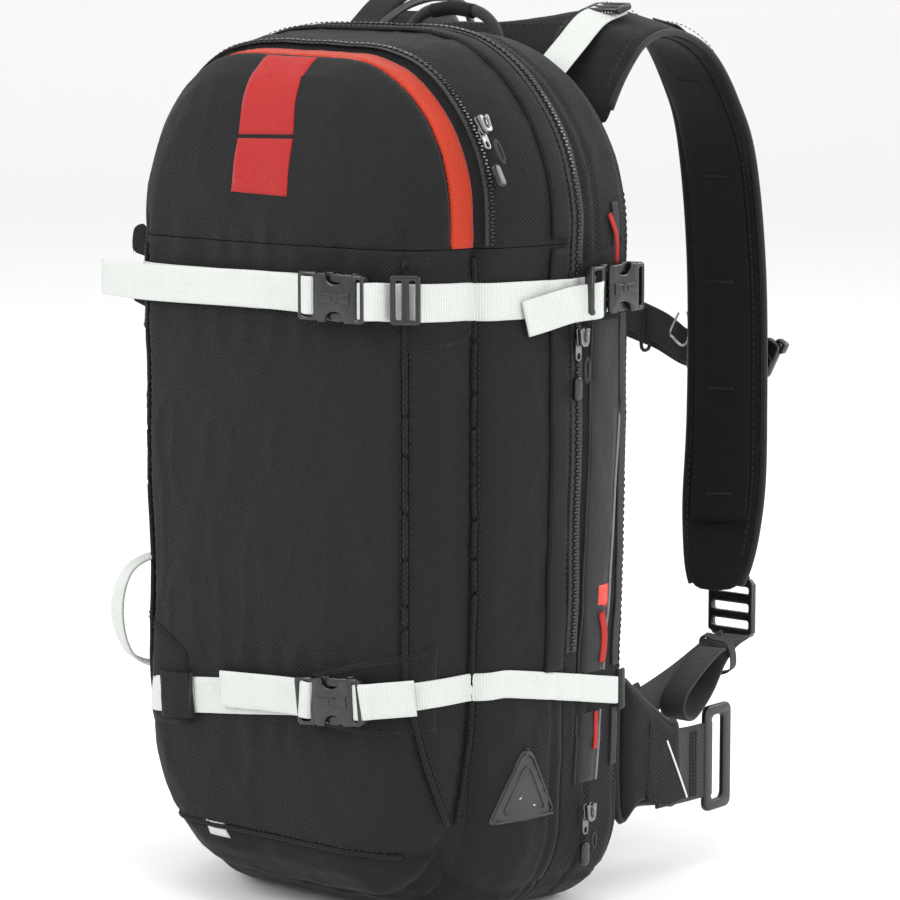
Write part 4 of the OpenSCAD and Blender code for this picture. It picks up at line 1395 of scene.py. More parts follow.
def slider(name, node, body, normal, down, length=30.0, lift=0.0):
    """A zip slider over its CAD solid: body, bridge, pull tab, and a cord loop with a moulded end."""
    low, high = (np.array(v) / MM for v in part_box(node))
    normal, down = unit(normal), unit(down)
    centre = (low + high) / 2 + lift * normal
    top = centre - down * (np.abs(down) @ (high - low) / 2 - 5)
    m = placed(top, tuple(np.cross(down, normal)), tuple(-down))
    front = [(-4.2, 4.5), (-3.2, -3.5), (-1.8, -5), (1.8, -5), (3.2, -3.5), (4.2, 4.5), (2, 5), (0, 3.4),
        (-2, 5)]
    parts = [plate(f"{name}_body", [front], 2.2, shifted(m, z=-1.4), "zip_metal", body, bevel=0.5)]
    parts.append(plate(f"{name}_lid", [front], 1.4, shifted(m, z=1.0), "zip_metal", body, bevel=0.4))
    c = np.array(m.translation) / MM
    bridge = [c - down * 3.4 + normal * 1.2, c - down * 2.6 + normal * 3.4, c + down * 1.6 + normal * 3.6,
        c + down * 2.8 + normal * 1.2]
    parts.append(cord(f"{name}_bridge", bridge, 0.8, "zip_metal", body, side=tuple(np.cross(down, normal)),
        sides=8, step=1))
    tab = rounded_rect(5, 13, 2.2, centre=(0, -6.5))
    hole = rounded_rect(2.6, 3.4, 1.2, centre=(0, -10.4))
    parts.append(plate(f"{name}_tab", [tab, hole], 1.1, shifted(m, z=2.7), "zip_metal", body, bevel=0.3))
    side = np.cross(down, normal)
    o = c + normal * 3.2
    lace = [o + down * 10.5, o + down * 14 + side * 1.6, o + down * (length - 9) + side * 1.4,
        o + down * (length - 6)]
    lace += [o + down * (length - 9) - side * 1.4, o + down * 14 - side * 1.6]
    parts.append(cord(f"{name}_lace", lace, 0.95, "thread_black", body, side=tuple(normal), sides=8,
        step=1.5, closed=True))
    grip = rounded_rect(6.2, 13, 2.6, centre=(0, -(length - 2)))
    parts.append(plate(f"{name}_grip", [grip], 3.4, shifted(m, z=3.0), "plastic", body, bevel=1.3))
    return settle(join(parts, name), body, [node], "zip_metal")


slider("main_pull", "main_zip_slider", "main_slider", X, (0, 0, -1))
slider("pocket_pull", "pocket_zip_slider", "pocket_slider", (0.891, 0, 0.454), (0.454, 0, -0.891))
slider("lower_pull", "lower_zip_slider", "lower_slider", X, (0, 0, -1), 26, 2.2)


# ---------------------------------------------------------------- padded pieces
def stuffed(obj, cap=3.0, voxel=None, pressure=4.0):
    """Swells a closed mesh as cloth under pressure, moving no point more than cap, then smooths it."""
    if voxel:
        modify(obj, "REMESH", mode="VOXEL", voxel_size=voxel * MM)
        apply_all(obj)
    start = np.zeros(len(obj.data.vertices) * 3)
    obj.data.vertices.foreach_get("co", start)
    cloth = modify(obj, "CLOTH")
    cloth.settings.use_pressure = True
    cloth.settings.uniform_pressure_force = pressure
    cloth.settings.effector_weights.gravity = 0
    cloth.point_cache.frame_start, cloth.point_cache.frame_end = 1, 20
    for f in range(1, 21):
        scene.frame_set(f)
    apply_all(obj)
    scene.frame_set(1)
    end = np.zeros(len(start))
    obj.data.vertices.foreach_get("co", end)
    move = (end - start).reshape(-1, 3)
    far = np.linalg.norm(move, axis=1, keepdims=True)
    move *= np.minimum(1, cap * MM / np.maximum(far, 1e-9))
    obj.data.vertices.foreach_set("co", start + move.ravel())
    modify(obj, "SUBSURF", levels=1, render_levels=1)
    apply_all(obj)
    obj.data.polygons.foreach_set("use_smooth", [True] * len(obj.data.polygons))
    return obj


def squarish(w, t, across, along, n):
    """n points of an oval, w by t. The lower the two powers are, the squarer it is."""
    pts = []
    for a in np.linspace(0, 2 * math.pi, n, endpoint=False):
        c, s = math.cos(a), math.sin(a)
        pts.append((w / 2 * math.copysign(abs(c) ** across, c), t / 2 * math.copysign(abs(s) ** along, s)))
    return pts


def crowned(w, t):
    """A pad's section: flat faces, soft rounded edges."""
    return squarish(w, t, 0.42, 0.7, 48)


RIGHT_PATH = [(76, 80, 432), (76, 98, 462), (76, 118, 481), (76, 147, 487), (77, 180, 475), (78, 205, 447)]
RIGHT_PATH += [(79, 222, 410), (82, 229, 340), (86, 225, 250), (92, 212, 190), (95, 202, 153)]
LEFT_PATH = [(-31, 88, 460), (-46, 99, 474), (-72, 120, 484), (-94, 148, 487), (-99, 180, 476)]
LEFT_PATH += [(-94, 208, 446), (-88, 224, 400), (-84, 229, 340), (-86, 225, 250), (-92, 212, 190),
    (-95, 202, 153)]
LIFTER = {1: [(67, 74, 459), (67, 95, 474), (68, 113, 487.5), (69, 128, 492.3)]}
LIFTER[-1] = [(-80, 84, 475), (-81, 96, 483), (-82, 118, 497), (-83, 140, 502), (-84, 164, 497.5)]
PAD_W, PAD_T = 56, 9.5


def pad_width(t):
    """Share of the full width along a shoulder pad: less at the yoke, rounded off at the lower end."""
    lower = np.clip((1 - t) / 0.16, 0, 1)
    return (0.93 + 0.07 * np.clip(t / 0.1, 0, 1)) * (0.42 + 0.58 * np.sqrt(1 - (1 - lower) ** 2.2))


for side, points in ((1, RIGHT_PATH), (-1, LEFT_PATH)):
    tag = "right" if side > 0 else "left"
    body = f"shoulder_{tag}"
    lean = (1, 0, -0.25 if side > 0 else 0)
    path = curve_points(points, 90)
    ts = np.linspace(0, 1, 90)
    wide = pad_width(ts)
    ends = np.minimum(1, np.sqrt(np.minimum(ts, 1 - ts) * 40) * 0.75 + 0.25)
    tan, s, n = frames(path, lean)
    if n[50] @ np.array([0, 1, 0]) < 0:
        out = -n
    else:
        out = n
    pad = sweep(f"shoulder_pad_{tag}_piece", path, crowned(PAD_W - 5, PAD_T - 2.5), lean, "pad", body,
        scale=np.stack([wide, ends], 1), replaces=[f"shoulder_pad_{tag}"], slot="smooth_fabric")
    stuffed(pad, 1.4)
    # bound edges, and a seam that runs round inside them
    for k in (-1, 1):
        edge = path + s * (wide * (PAD_W / 2 - 2.0) * k)[:, None]
        edge = edge[2:-1]
        cord(f"pad_binding_{tag}_{k + 1}", edge, 1.9, "tape_dark", body, side=lean, sides=10, step=4)
        for f in (-1, 1):
            row = path + s * (wide * (PAD_W / 2 - 6.5) * k)[:, None] + n * (f * (PAD_T / 2 - 0.4) * ends)[:,
                None]
            stitches(f"pad_stitch_{tag}_{k + 1}_{f + 1}", row[4:-4], n[4:-4] * f, "thread_black", body,
                r=0.26, lift=0.25, length=2.6, space=1.6)
    # webbing down the middle, tacked at intervals
    web = (path + out * (PAD_T / 2 + 0.35))[22:84]
    ribbon(f"pad_web_{tag}", web, 20, 1.1, lean, "black_web", body, step=4)
    inner = (path - out * (PAD_T / 2 + 0.25))[18:82]
    ribbon(f"pad_lining_{tag}", inner, 38, 0.8, lean, "smooth", body, step=4)
    for k, i in enumerate((30, 42, 54, 66, 78)):
        for f, name in ((1, "out"), (-1, "in")):
            if side < 0 and f > 0 and k == 2:
                continue  # the sternum strap slides over this place
            c = path[i] + out[i] * f * (PAD_T / 2 + (1.1 if f > 0 else 0.85))
            zigzag(f"pad_tack_{tag}_{name}_{k}", c, s[i], tan[i], out[i] * f, 17, 1, "thread_black", body)
    # load lifter: from the back panel to the pad, its loose end running on 5 mm under a lock
    fine = curve_points(LIFTER[side], 30)
    tip = fine[-1] - fine[-2]
    ribbon(f"lifter_{tag}_web", [*fine, fine[-1] + 5 * unit(tip)], 20, 1.5, lean, "white_web", body, step=2,
        replaces=[f"load_lifter_{tag}"], slot="white_webbing")
    lift_s = unit(np.cross(Z, tip))
    up = unit(np.cross(tip, lift_s))
    if side < 0:
        ribbon("lifter_sleeve", fine[:17] + (0, -0.4, 0.6), 25, 3.6, lean, "side_cloth", body, step=2,
            slot="smooth_fabric")
    zigzag(f"lifter_tack_{tag}", fine[-3] + up * 1.0, lift_s, tip, up, 16, 2, "thread_white", body)
    m = placed(fine[-1] + up * 1.6, tuple(lift_s), tuple(unit(tip)))
    plate(f"lifter_lock_{tag}", [rounded_rect(27, 13, 3), rounded_rect(21.5, 2.6, 1.2, centre=(0, 2.6)),
        rounded_rect(21.5, 2.6, 1.2, centre=(0, -2.6))], 3.4, m, "plastic", body, bevel=0.9)

# ladder locks at the pads' lower ends, each on a short loop of webbing
for side, tag in SIDES:
    outline = [(-16, -15), (-13, -17), (13, -17), (16, -15), (16, 14), (13, 17), (-13, 17), (-16, 14)]
    holes = [rounded_rect(25, h, 1.4, centre=(0, z)) for h, z in ((5, -10.5), (5, -0.5), (4, 10))]
    m = placed((side * 95, 219.5, 143), X, Z)
    lock = plate(f"lock_{tag}_a", [outline, *holes], 4.6, m, "plastic", f"lock_{tag}", bevel=1.4)
    lip = plate(f"lock_{tag}_b", [rounded_rect(27, 4.2, 1.8, centre=(0, -16))], 7.4, shifted(m, z=-1.2),
        "plastic", f"lock_{tag}", bevel=1.6)
    settle(join([lock, lip], f"lock_{tag}_piece"), f"lock_{tag}", [f"ladder_lock_{tag}"], "black_plastic")
    loop = [(side * 94, 208.4, 176), (side * 94.6, 214.6, 167), (side * 95, 219, 159.6),
        (side * 95, 222.4, 155.6)]
    loop += [(side * 95, 223.6, 158.6), (side * 95, 221.4, 163), (side * 94.4, 214, 173),
        (side * 93.6, 211.4, 181)]
    ribbon(f"lock_loop_{tag}", loop, 20, 1.1, X, "black_web", f"shoulder_{tag}", step=1.5)

# lower webbing: from the bottom corner up to the lock, its spare length folded back under two keepers
for side, tag in SIDES:
    parts = []
    line = [(side * x, y, z) for x, y, z in ((104, 72, 97), (104.6, 84, 98), (105, 112, 102),
        (102, 150, 109), (97, 188, 117), (95, 210, 120))]
    lean = (0, -0.2, 1)
    parts.append(ribbon(f"lower_web_{tag}", line, 20, 1.5, lean, "black_web", "pack", step=3))
    fine = curve_points(line, 60)
    tan, s, n = frames(fine, lean)
    spare = [(104, 212, 127), (105, 198, 124), (106.5, 184, 116), (109, 169, 103), (111, 155, 94.5),
        (112, 145, 90.5), (112.5, 137.5, 92)]
    spare += [(112.5, 134.5, 98), (112, 138, 105), (111, 148, 111.5), (109.5, 160, 117), (107, 176, 122.5),
        (106, 184, 124)]
    spare = [(side * x, y, z) for x, y, z in spare]
    ribbon(f"spare_web_{tag}", spare, 17, 1.6, X, "black_web", "pack", step=2)
    around = {16: [(-1.5, -10.8), (-1.5, 10.8), (1.5, 10.8), (1.5, -10.8)],
        51: [(-1.6, -10.8), (-1.6, 11), (8, 11.5), (17.4, 9), (18, -5), (8, -10)]}
    for k, (i, ring) in enumerate(around.items()):
        up = unit(np.cross(tan[i], X))
        up *= np.sign(up[2])
        band = [fine[i] + np.array((side * p, 0, 0)) + q * up for p, q in ring]
        ribbon(f"web_keeper_{tag}_{k}", band, 7, 0.9, tuple(tan[i]), "tape_dark", "pack", step=1.2,
            closed=True)
    m = placed((side * 103.5, 75.5, 98), Y, Z)
    parts.append(plate(f"web_anchor_{tag}", [rounded_rect(10, 28, 3)], 9, m, "smooth", "pack", bevel=1.1))
    settle(join(parts, f"lower_harness_{tag}"), "pack", ["shoulder_webs"], "black_webbing")


# ---------------------------------------------------------------- loops and anchors
def slab(name, w, h, r, t, centre, mat, body, grid=16, axes=(X, Z), **kw):
    """A crowned foam slab with rounded corners. Its flat side is on centre, square to the axes."""
    ax, ay = (unit(v) for v in axes)
    az = np.cross(ax, ay)
    ring = np.array(rounded_rect(w, h, r, n=grid))
    verts = []
    profile = [(0.0, 0.0), (0.35, -0.0), (0.75, -0.5), (0.97, -1.6), (1.0, -3.2), (0.8, -5.5), (0.45, -8.5)]
    profile = [(up, inset) for up, inset in profile if -inset < min(w, h) / 2 - 1]
    for up, inset in profile:
        scale = 1 + 2 * inset / np.array([w, h])
        for p in ring * scale:
            verts.append(np.asarray(centre) + ax * p[0] + ay * p[1] + az * t * min(1.0,
                up if inset > -3 else 1.0))
    return piece(name, verts, tube_faces(len(profile), 4 * grid), mat, body, **kw)


def rim_points(w, h, r, inset, centre, axes, up=0.0):
    ax, ay = (unit(v) for v in axes)
    az = np.cross(ax, ay)
    ring = np.array(rounded_rect(w - 2 * inset, h - 2 * inset, max(1, r - inset), n=8))
    return [np.asarray(centre) + ax * p[0] + ay * p[1] + az * up for p in ring]


HAUL = [(-33, 75, 456), (-33, 75, 472), (-29, 75, 484), (-18, 75, 492), (0, 75, 494), (18, 75, 492),
    (29, 75, 484), (33, 75, 472), (33, 75, 456)]
loops = [cord("haul_cord", HAUL, 3.3, "black_web", "pack", side=Y, step=2)]
for x in (-1, 1):
    loops.append(ribbon(f"haul_tab_{x + 1}", [(x * 33, 71.6, 440), (x * 33, 72.4, 452),
        (x * 33, 74.6, 462)], 16, 2.2, X, "black_web", "pack", step=2))
    zigzag(f"haul_tack_{x + 1}", (x * 33, 72.9, 447), X, Z, Y, 12, 2, "thread_black", "pack")
settle(join(loops, "haul_loop_piece"), "pack", ["haul_loop"], "black_webbing")
sleeve = [(-15, 75, 492.3), (0, 75, 494), (15, 75, 492.3)]
cord("haul_grip", sleeve, 4.1, "smooth", "pack", side=Y, step=2)

SKI = [(-112, -43.3, 182), (-118.4, -51, 186), (-127.7, -61.4, 177), (-131.6, -65.9, 155)]
SKI += [(-127.7, -61.4, 132), (-118.4, -51, 124), (-111.5, -43.3, 128)]
SKI_SIDE = (-0.747, 0.664, 0)
TWIST = [SKI_SIDE, (-0.80, 0.60, 0), (-0.93, 0.36, 0), (-0.93, 0.36, 0), (-0.93, 0.36, 0), (-0.80, 0.60, 0),
    SKI_SIDE]
ribbon("ski_loop_piece", SKI, 15, 2.0, TWIST, "white_web", "pack", step=2, replaces=["ski_loop"],
    slot="white_webbing")
for k, z in enumerate((183.2, 127)):
    zigzag(f"ski_tack_{k}", (-113.4 if k == 0 else -113, -45, z + (1.6 if k == 0 else -1.2)), SKI_SIDE,
        (-0.66, -0.74, 0.2), (0, 0, 1 if k == 0 else -1), 11, 2, "thread_white", "pack")

parts = []
for side in (1, -1):
    # black tabs that hold the strap ends at the pack's back edge
    up = [(side * 132.2, 52, UPPER_Z), (side * 133.0, 57, UPPER_Z), (side * 132.6, 63, UPPER_Z)]
    parts.append(ribbon(f"anchor_upper_{side + 1}", up, 25, 2.6, Z, "tape_dark", "pack", step=1.5))
    z = low_z(side * 130, 58)
    low = [(side * 127.8, 59.6, z), (side * 128.4, 62.5, z), (side * 127.6, 65.5, z)]
    parts.append(ribbon(f"anchor_lower_{side + 1}", low, 23, 2.2, Z, "tape_dark", "pack", step=1.5))
    zigzag(f"anchor_tack_{side + 1}", (side * 134.3, 57.5, UPPER_Z), Z, Y, (side, 0, 0), 19, 2,
        "thread_black", "pack")
settle(join(parts, "strap_tabs"), "pack", ["strap_anchors"], "smooth_fabric")

# ---------------------------------------------------------------- back panel
BACK = [("upper", 150, 84, 24, 9, (0, 388)), ("left", 66, 150, 20, 10, (-48, 262)),
    ("right", 66, 150, 20, 10, (48, 262)), ("lumbar", 170, 92, 30, 11, (0, 128))]
AXES = (X, (0, 0, -1))
for tag, w, h, r, t, (x, z) in BACK:
    base = (x, 70.5, z)
    pad = slab(f"back_pad_{tag}", w - 3, h - 3, r, t - 1.8, base, "pad", "pack", axes=AXES,
        replaces=["back_pad"] if tag == "lumbar" else (), slot="smooth_fabric")
    stuffed(pad, 1.6, 3.2)
    face = rim_points(w, h, r, 9, (x, 70.5, z), AXES, t - 0.6)
    cord(f"back_binding_{tag}", rim_points(w, h, r, 1.2, (x, 71.4, z), AXES), 1.3, "tape_dark", "pack",
        side=Y, sides=8, step=4, closed=True)
    loop = curve_points(face, 140, True)
    stitches(f"back_stitch_{tag}", [*loop, loop[0]], [Y] * 141, "thread_black", "pack", r=0.3, lift=0.1,
        length=3.0, space=1.8)
    slab(f"back_mesh_{tag}", w - 24, h - 24, max(4, r - 10), 1.3, (x, 70.5 + t - 1.2, z), "mesh", "pack",
        axes=AXES, slot="smooth_fabric")

# the yoke that joins the two shoulder straps behind the neck
verts, rows, cols = [], 12, 30
for i in range(rows + 1):
    for k in range(cols + 1):
        x = -36 + 88 * k / cols
        top = float(np.interp(x, [-36, -8, 17, 52], [483, 485, 484.5, 485]))
        line = np.array([(80.5, 456), (82.5, 466), (87, 475), (94, 481), (101, top), (107, top - 4)])
        edge = np.array([(81, 444), (89, 457), (98, 469.5), (108, 480), (118, 488), (127, 491.5)])
        w = np.clip((x - 8) / 44, 0, 1)
        line += (edge - line) * w * w * (3 - 2 * w)
        y, z = curve_points(line, rows + 1)[i]
        verts.append((x, y + 0.5 * math.sin(x / 9), z - 0.4 * math.cos(x / 7)))
yoke = piece("yoke", verts, grid_faces(rows, cols), "side_cloth", "shoulder_right", slot="smooth_fabric")
modify(yoke, "SOLIDIFY", thickness=3.0 * MM, offset=0)
modify(yoke, "BEVEL", width=1.2 * MM, segments=2)
apply_all(yoke)
hem = [verts[(rows - 3) * (cols + 1) + k] for k in range(cols + 1)]
stitches("yoke_stitch", [np.array(v) + (0, -1.2, 1.4) for v in hem], [(0, -0.6, 0.8)] * len(hem),
    "thread_black", "shoulder_right", r=0.3, lift=0.1)
BACKING = [(-62, 440), (-58, 452), (-40, 462), (-10, 464), (30, 464), (60, 462), (92, 452), (107, 432),
    (104, 404), (92, 396), (58, 412), (0, 424), (-40, 424)]
m = placed((0, 71.4, 0), X, Z)
plate("yoke_backing", [round_corners(BACKING[::-1], 8)], 1.2, m, "smooth", "pack", bevel=0.4,
    slot="smooth_fabric")

# ---------------------------------------------------------------- sternum strap
web = [(-84, 236.6, 320), (-78, 238, 318), (-52, 243, 316), (-20, 248, 313), (0, 250, 307),
    (22, 249.6, 300), (38, 247.6, 292), (46, 247, 290)]
settle(ribbon("sternum_web", web, 20, 1.5, Z, "black_web", "sternum", step=2), "sternum",
    slot="black_webbing")
tail = [(46, 249.6, 287.5), (36, 251.4, 288.5), (18, 253.4, 295.5), (6, 253.6, 299), (-6, 253, 302.5)]
ribbon("sternum_tail", tail, 19, 1.4, Z, "black_web", "sternum", step=2)
ring = [(8 + dx, 251.7 + dy, 299 + dz) for dx, dy,
    dz in ((0, -3.8, 12), (0, 3.8, 12), (0, 4.4, 0), (0, 3.8, -12), (0, -3.8, -12), (0, -4.4, 0))]
cord("sternum_keeper", ring, 1.1, "tape_dark", "sternum", side=X, sides=8, step=2, closed=True)
at_sternum = placed((57, 247, 290), X, Z)
plug("sternum_plug_piece", at_sternum, "sternum", replaces=["sternum_strap"], slot="black_plastic")
bail = [(37.5, 244.6, 311), (31.5, 244.4, 299), (34, 244.4, 295.5), (40, 244.2, 291.5), (44.5, 244.2, 295),
    (44.8, 244.4, 306), (43.6, 244.6, 312)]
cord("sternum_bail", bail, 0.75, "steel", "sternum", sides=10, step=1)
socket("sternum_socket_piece", at_sternum, "sternum_buckle", replaces=["sternum_socket"],
    slot="black_plastic")
ribbon("sternum_short_web", [(84, 247.2, 290), (90, 247.6, 290), (97, 247.4, 289.5)], 18, 1.6, Z,
    "black_web", "sternum_buckle", step=1.5)
turned = placed((99.5, 247.2, 288), (0.89, 0, -0.45), (0.45, 0, 0.89))
end = [plate("sternum_end_a", [rounded_rect(12.5, 23, 3.2)], 5.4, turned, "plastic", "sternum_buckle",
    bevel=1.8)]
end.append(plate("sternum_end_b", [rounded_rect(8.6, 12.5, 4.2, centre=(1.2, -3)),
    rounded_rect(6.6, 10.3, 3.2, centre=(1.2, -3))], 1.0, shifted(turned, z=2.9), "plastic",
    "sternum_buckle", bevel=0.35))
end.append(plate("sternum_end_c", [rounded_rect(2.2, 21, 1.0, centre=(-4.6, 0))], 1.2,
    shifted(turned, z=2.8), "plastic", "sternum_buckle", bevel=0.4))
end.append(plate("sternum_end_d", [rounded_rect(7.5, 7.5, 1.8, centre=(4.6, 10.4)),
    rounded_rect(2.6, 1.5, 0.6, centre=(4.6, 11.6))], 5.0, shifted(turned, z=-1.2), "plastic",
    "sternum_buckle", bevel=1.0))
join(end, "sternum_end")

# ---------------------------------------------------------------- release handle and its cable
OUTER = [(-71, 75, 449), (-71, 78, 458), (-70, 81, 472), (-66, 92, 484), (-66, 118, 495), (-66, 148, 499),
    (-67, 168, 494)]
OUTER += [(-78, 190, 482), (-90, 213, 463), (-91, 235, 425), (-89, 242, 390), (-86, 242, 340),
    (-86, 241, 283)]
INNER = [(66, 22, 82), (60, 28, 100), (48, 48, 130), (10, 57, 240), (-50, 57, 390), (-68, 58, 430),
    (-70, 64, 443), (-70, 71, 446)]
cord("cable_outer_piece", OUTER, 2.3, "hose", "shoulder_left", side=X, step=3, replaces=["cable_outer"],
    slot="black_rubber")
cord("cable_inner_piece", INNER, 1.9, "hose", "pack", side=X, step=3, replaces=["cable_inner"],
    slot="black_rubber")
for k, (y, z) in enumerate(((234.5, 430), (236.4, 404), (238, 380), (238.5, 359))):
    x = float(np.interp(z, [283, 340, 390, 425], [-86, -86, -89, -91]))
    clip = [(x - 7, y - 2.5, z), (x - 5, y + 3, z), (x, y + 7.5, z), (x + 5, y + 3, z), (x + 7, y - 2.5, z)]
    ribbon(f"cable_clip_{k}", clip, 8, 1.0, Z, "tape_dark", "shoulder_left", step=1.2)


def pouch(name, x, y, w, d, rows, mat, body, **kw):
    """A soft pouch: rounded rings stacked along Z. rows are (z, share of width, share of depth)."""
    verts, n = [], 40
    for z, a, b in rows:
        verts += [(x + p, y + q, z) for p, q in squarish(w * a, d * b, 0.5, 0.6, n)]
    return piece(name, verts, tube_faces(len(rows), n), mat, body, **kw)


# a hollow pouch: outside up, over the hem and back down inside
ROWS = [(283, 0.1, 0.1), (283, 0.7, 0.55), (281, 0.92, 0.82), (277, 1, 0.96), (262, 1, 1), (246, 0.99, 1),
    (236, 1, 0.97), (234, 1, 0.96)]
ROWS += [(234, 0.9, 0.84), (237, 0.86, 0.8), (262, 0.84, 0.78), (272, 0.8, 0.74), (273, 0.1, 0.1)]
pouch("trigger_pouch", -86, 242, 34, 20, ROWS, "smooth", "shoulder_left", replaces=["trigger_pocket"],
    slot="smooth_fabric")
hem = [(-86 + p, 242 + q, 236.4) for p, q in squarish(34.6, 19.8, 0.5, 0.6, 28)]
cord("pouch_hem", hem, 1.2, "tape_dark", "shoulder_left", sides=8, step=2, closed=True)
zipline = [(-86 + x, 242 + y, z) for x, y, z in ((-17.6, 0, 240), (-17.6, 0, 268), (-14, 2, 279.5),
    (0, 4, 283.6), (14, 2, 279.5), (17.6, 0, 268), (17.6, 0, 240))]
ribbon("pouch_zip", zipline, 5, 1.0, Y, "zip_tape", "shoulder_left", step=2)
xs = np.linspace(-24, 24, 34)
ends = np.sqrt(np.clip(1 - (np.abs(xs) / 24.4) ** 8, 0.05, 1))
dent = 1 - 0.10 * np.exp(-(((np.abs(xs) - 13) / 6) ** 2))
bar = sweep("handle_bar", [(-86 + x, 241, 210.5) for x in xs], crowned(16.6, 13.6), Z, "plastic_red",
    "handle", scale=np.stack([ends * dent, ends * dent], 1))
stem = sweep("handle_stem", [(-86, 241, z) for z in np.linspace(214, 240, 12)], crowned(14, 8), X,
    "plastic_red", "handle", scale=[(1 + 0.5 * math.exp(-i / 2), 1) for i in range(12)])
core = sweep("handle_core", [(-86, 241, z) for z in np.linspace(236, 271, 14)], crowned(19, 9), X,
    "plastic_red", "handle", scale=[(min(1, 0.7 + 0.15 * min(i, 13 - i)),) * 2 for i in range(14)])
ribs = []
for k in (-1, 1):
    for j in (-1, 0, 1):
        rib = [(-86 + x, 241 + k * 6.75, 210.5 + 4 * j) for x in (-15 + 4 * abs(j), 0, 15 - 4 * abs(j))]
        ribs.append(cord(f"handle_rib_{k}_{j}", rib, 0.8, "plastic_red", "handle", sides=8, step=2))
settle(join([bar, stem, core, *ribs], "release_handle"), "handle", ["trigger_handle"], "red_plastic")

# ---------------------------------------------------------------- hip belt
WING = [(77, 118), (90, 116), (100, 108), (112, 100), (124, 92), (133, 87), (133, 46.5), (118, 47),
    (94, 50), (77, 47)]
for side, tag in SIDES:
    body = f"hip_{tag}"
    outline = np.array(curve_points(WING, 84, True))
    centre = outline.mean(0)
    verts = []
    layers = [(110.6, 0.96), (112.2, 1.0), (117.2, 1.0), (119.6, 0.985), (120.8, 0.93), (121.4, 0.8),
        (121.6, 0.45)]
    for x, k in layers:
        for p in outline:
            q = centre + (p - centre) * k
            verts.append((side * x, q[0], q[1]))
    faces = tube_faces(len(layers), len(outline))
    if side < 0:
        faces = [f[::-1] for f in faces]
    wing = piece(f"hip_wing_{tag}_piece", verts, faces, "smooth", body, replaces=[f"hip_wing_{tag}"],
        slot="smooth_fabric")
    stuffed(wing, 1.2, 3.2)
    edge = [(side * 116, p[0], p[1]) for p in outline]
    cord(f"hip_binding_{tag}", edge, 2.1, "tape_dark", body, side=X, sides=8, step=3, closed=True)
    # stiffened flap with a pale edge, laid over the webbing
    flap = [(98, 99), (107, 88), (114, 84), (134.5, 47), (118, 46), (96, 52)]
    m = placed((side * 122.4, 0, 0), Y, Z)
    plate(f"hip_flap_{tag}", [round_corners(flap, 2)], 1.3, m, "side_cloth", body, bevel=0.4,
        slot="smooth_fabric")
    ribbon(f"hip_flap_edge_{tag}", [(side * 123.2, 114.5, 83.6), (side * 123.4, 125, 64.5),
        (side * 123.2, 134.6, 47.2)], 1.3, 0.9, (0, 0.9, 0.4), "reflect", body, step=2)
    fold = [np.array((side * 123.4, y, z)) for y, z in ((98, 96), (96, 80), (95, 66), (95, 54))]
    stitches(f"hip_seam_{tag}", curve_points(fold, 30), [(side, 0, 0)] * 30, "thread_black", body, r=0.3,
        lift=0.1)
    rows = [(side * 121.9, y, z) for y, z in ((82, 112), (88, 96), (89, 76), (86, 56))]
    stitches(f"hip_row_{tag}", curve_points(rows, 40), [(side, 0, 0)] * 40, "thread_black", body, r=0.3,
        lift=0.1)
    belt = [(side * 118.6, 112, 66), (side * 117.4, 128, 65), (side * 115.6, 145, 63.5),
        (side * 115.5, 161, 63), (side * 115.5, 167, 63), (side * 115.5, 169.5, 63)]
    ribbon(f"hip_web_{tag}", belt, 44, 1.8, Z, "black_web", body, step=2)
    under = [(side * 113.2, 168.5, 63), (side * 112.4, 160, 63), (side * 113.0, 146, 63.5),
        (side * 113.6, 136, 64)]
    ribbon(f"hip_web_back_{tag}", under, 42, 1.6, Z, "black_web", body, step=2)
    ribbon(f"hip_tab_{tag}", [(side * 119.8, 119, 79), (side * 119.4, 126, 77)], 9, 1.2, (0, 0.3, 1),
        "reflect", body, step=1)
    zigzag(f"hip_tack_{tag}", (side * 116.9, 150, 63.2), Z, Y, (side, 0, 0), 38, 3, "thread_black", body)

m = placed((115.5, 174.5, 63), Y, Z)
plate("hip_loop_piece", [rounded_rect(26, 62, 5), rounded_rect(12, 50, 3.5, centre=(-0.5, 0))], 3.8, m,
    "alloy_dark", "hip_loop", bevel=1.2, replaces=["hip_buckle_loop"], slot="aluminium")
m = placed((-115.5, 174.5, 63), Y, Z)
hook = [(-13, -28), (1, -28), (3, -20), (13, -20), (13, 20), (3, 20), (1, 28), (-13, 28)]
parts = [plate("hip_hook_a", [round_corners(hook, 3), rounded_rect(6, 46, 2.4, centre=(-6, 0))], 3.8, m,
    "alloy_dark", "hip_hook", bevel=1.2)]
parts.append(plate("hip_hook_b", [rounded_rect(8, 40, 2.5, centre=(9, 0))], 3.2, shifted(m, z=-3.2),
    "alloy_dark", "hip_hook", bevel=1.0))
settle(join(parts, "hip_hook_piece"), "hip_hook", ["hip_buckle_hook"], "aluminium")

# ---------------------------------------------------------------- inside the pack
def inner_sheet(name, y, low, high, body, node, mat="smooth"):
    """A cloth wall across the pack at one y, a little slack, cut to the pack's inside."""
    verts, cols, grid = [], 22, np.linspace(low, high, 26)
    for z in grid:
        reach = [abs((TREE.ray_cast(Vector((0, y, z)), Vector((s, 0, 0)))[0] or Vector((100 * s, 0, 0))).x)
            for s in (-1, 1)]
        reach = max(20.0, min(reach) - 3.2)
        for k in range(cols + 1):
            x = reach * (2 * k / cols - 1)
            slack = 0.7 * math.sin(x / 15 + z / 31) * math.cos(z / 22) * (1 - abs(2 * k / cols - 1) ** 3)
            verts.append((x, y + slack, z))
    obj = piece(name, verts, grid_faces(len(grid) - 1, cols), mat, body, replaces=[node],
        slot="smooth_fabric")
    modify(obj, "SOLIDIFY", thickness=1.4 * MM, offset=0)
    return apply_all(obj)


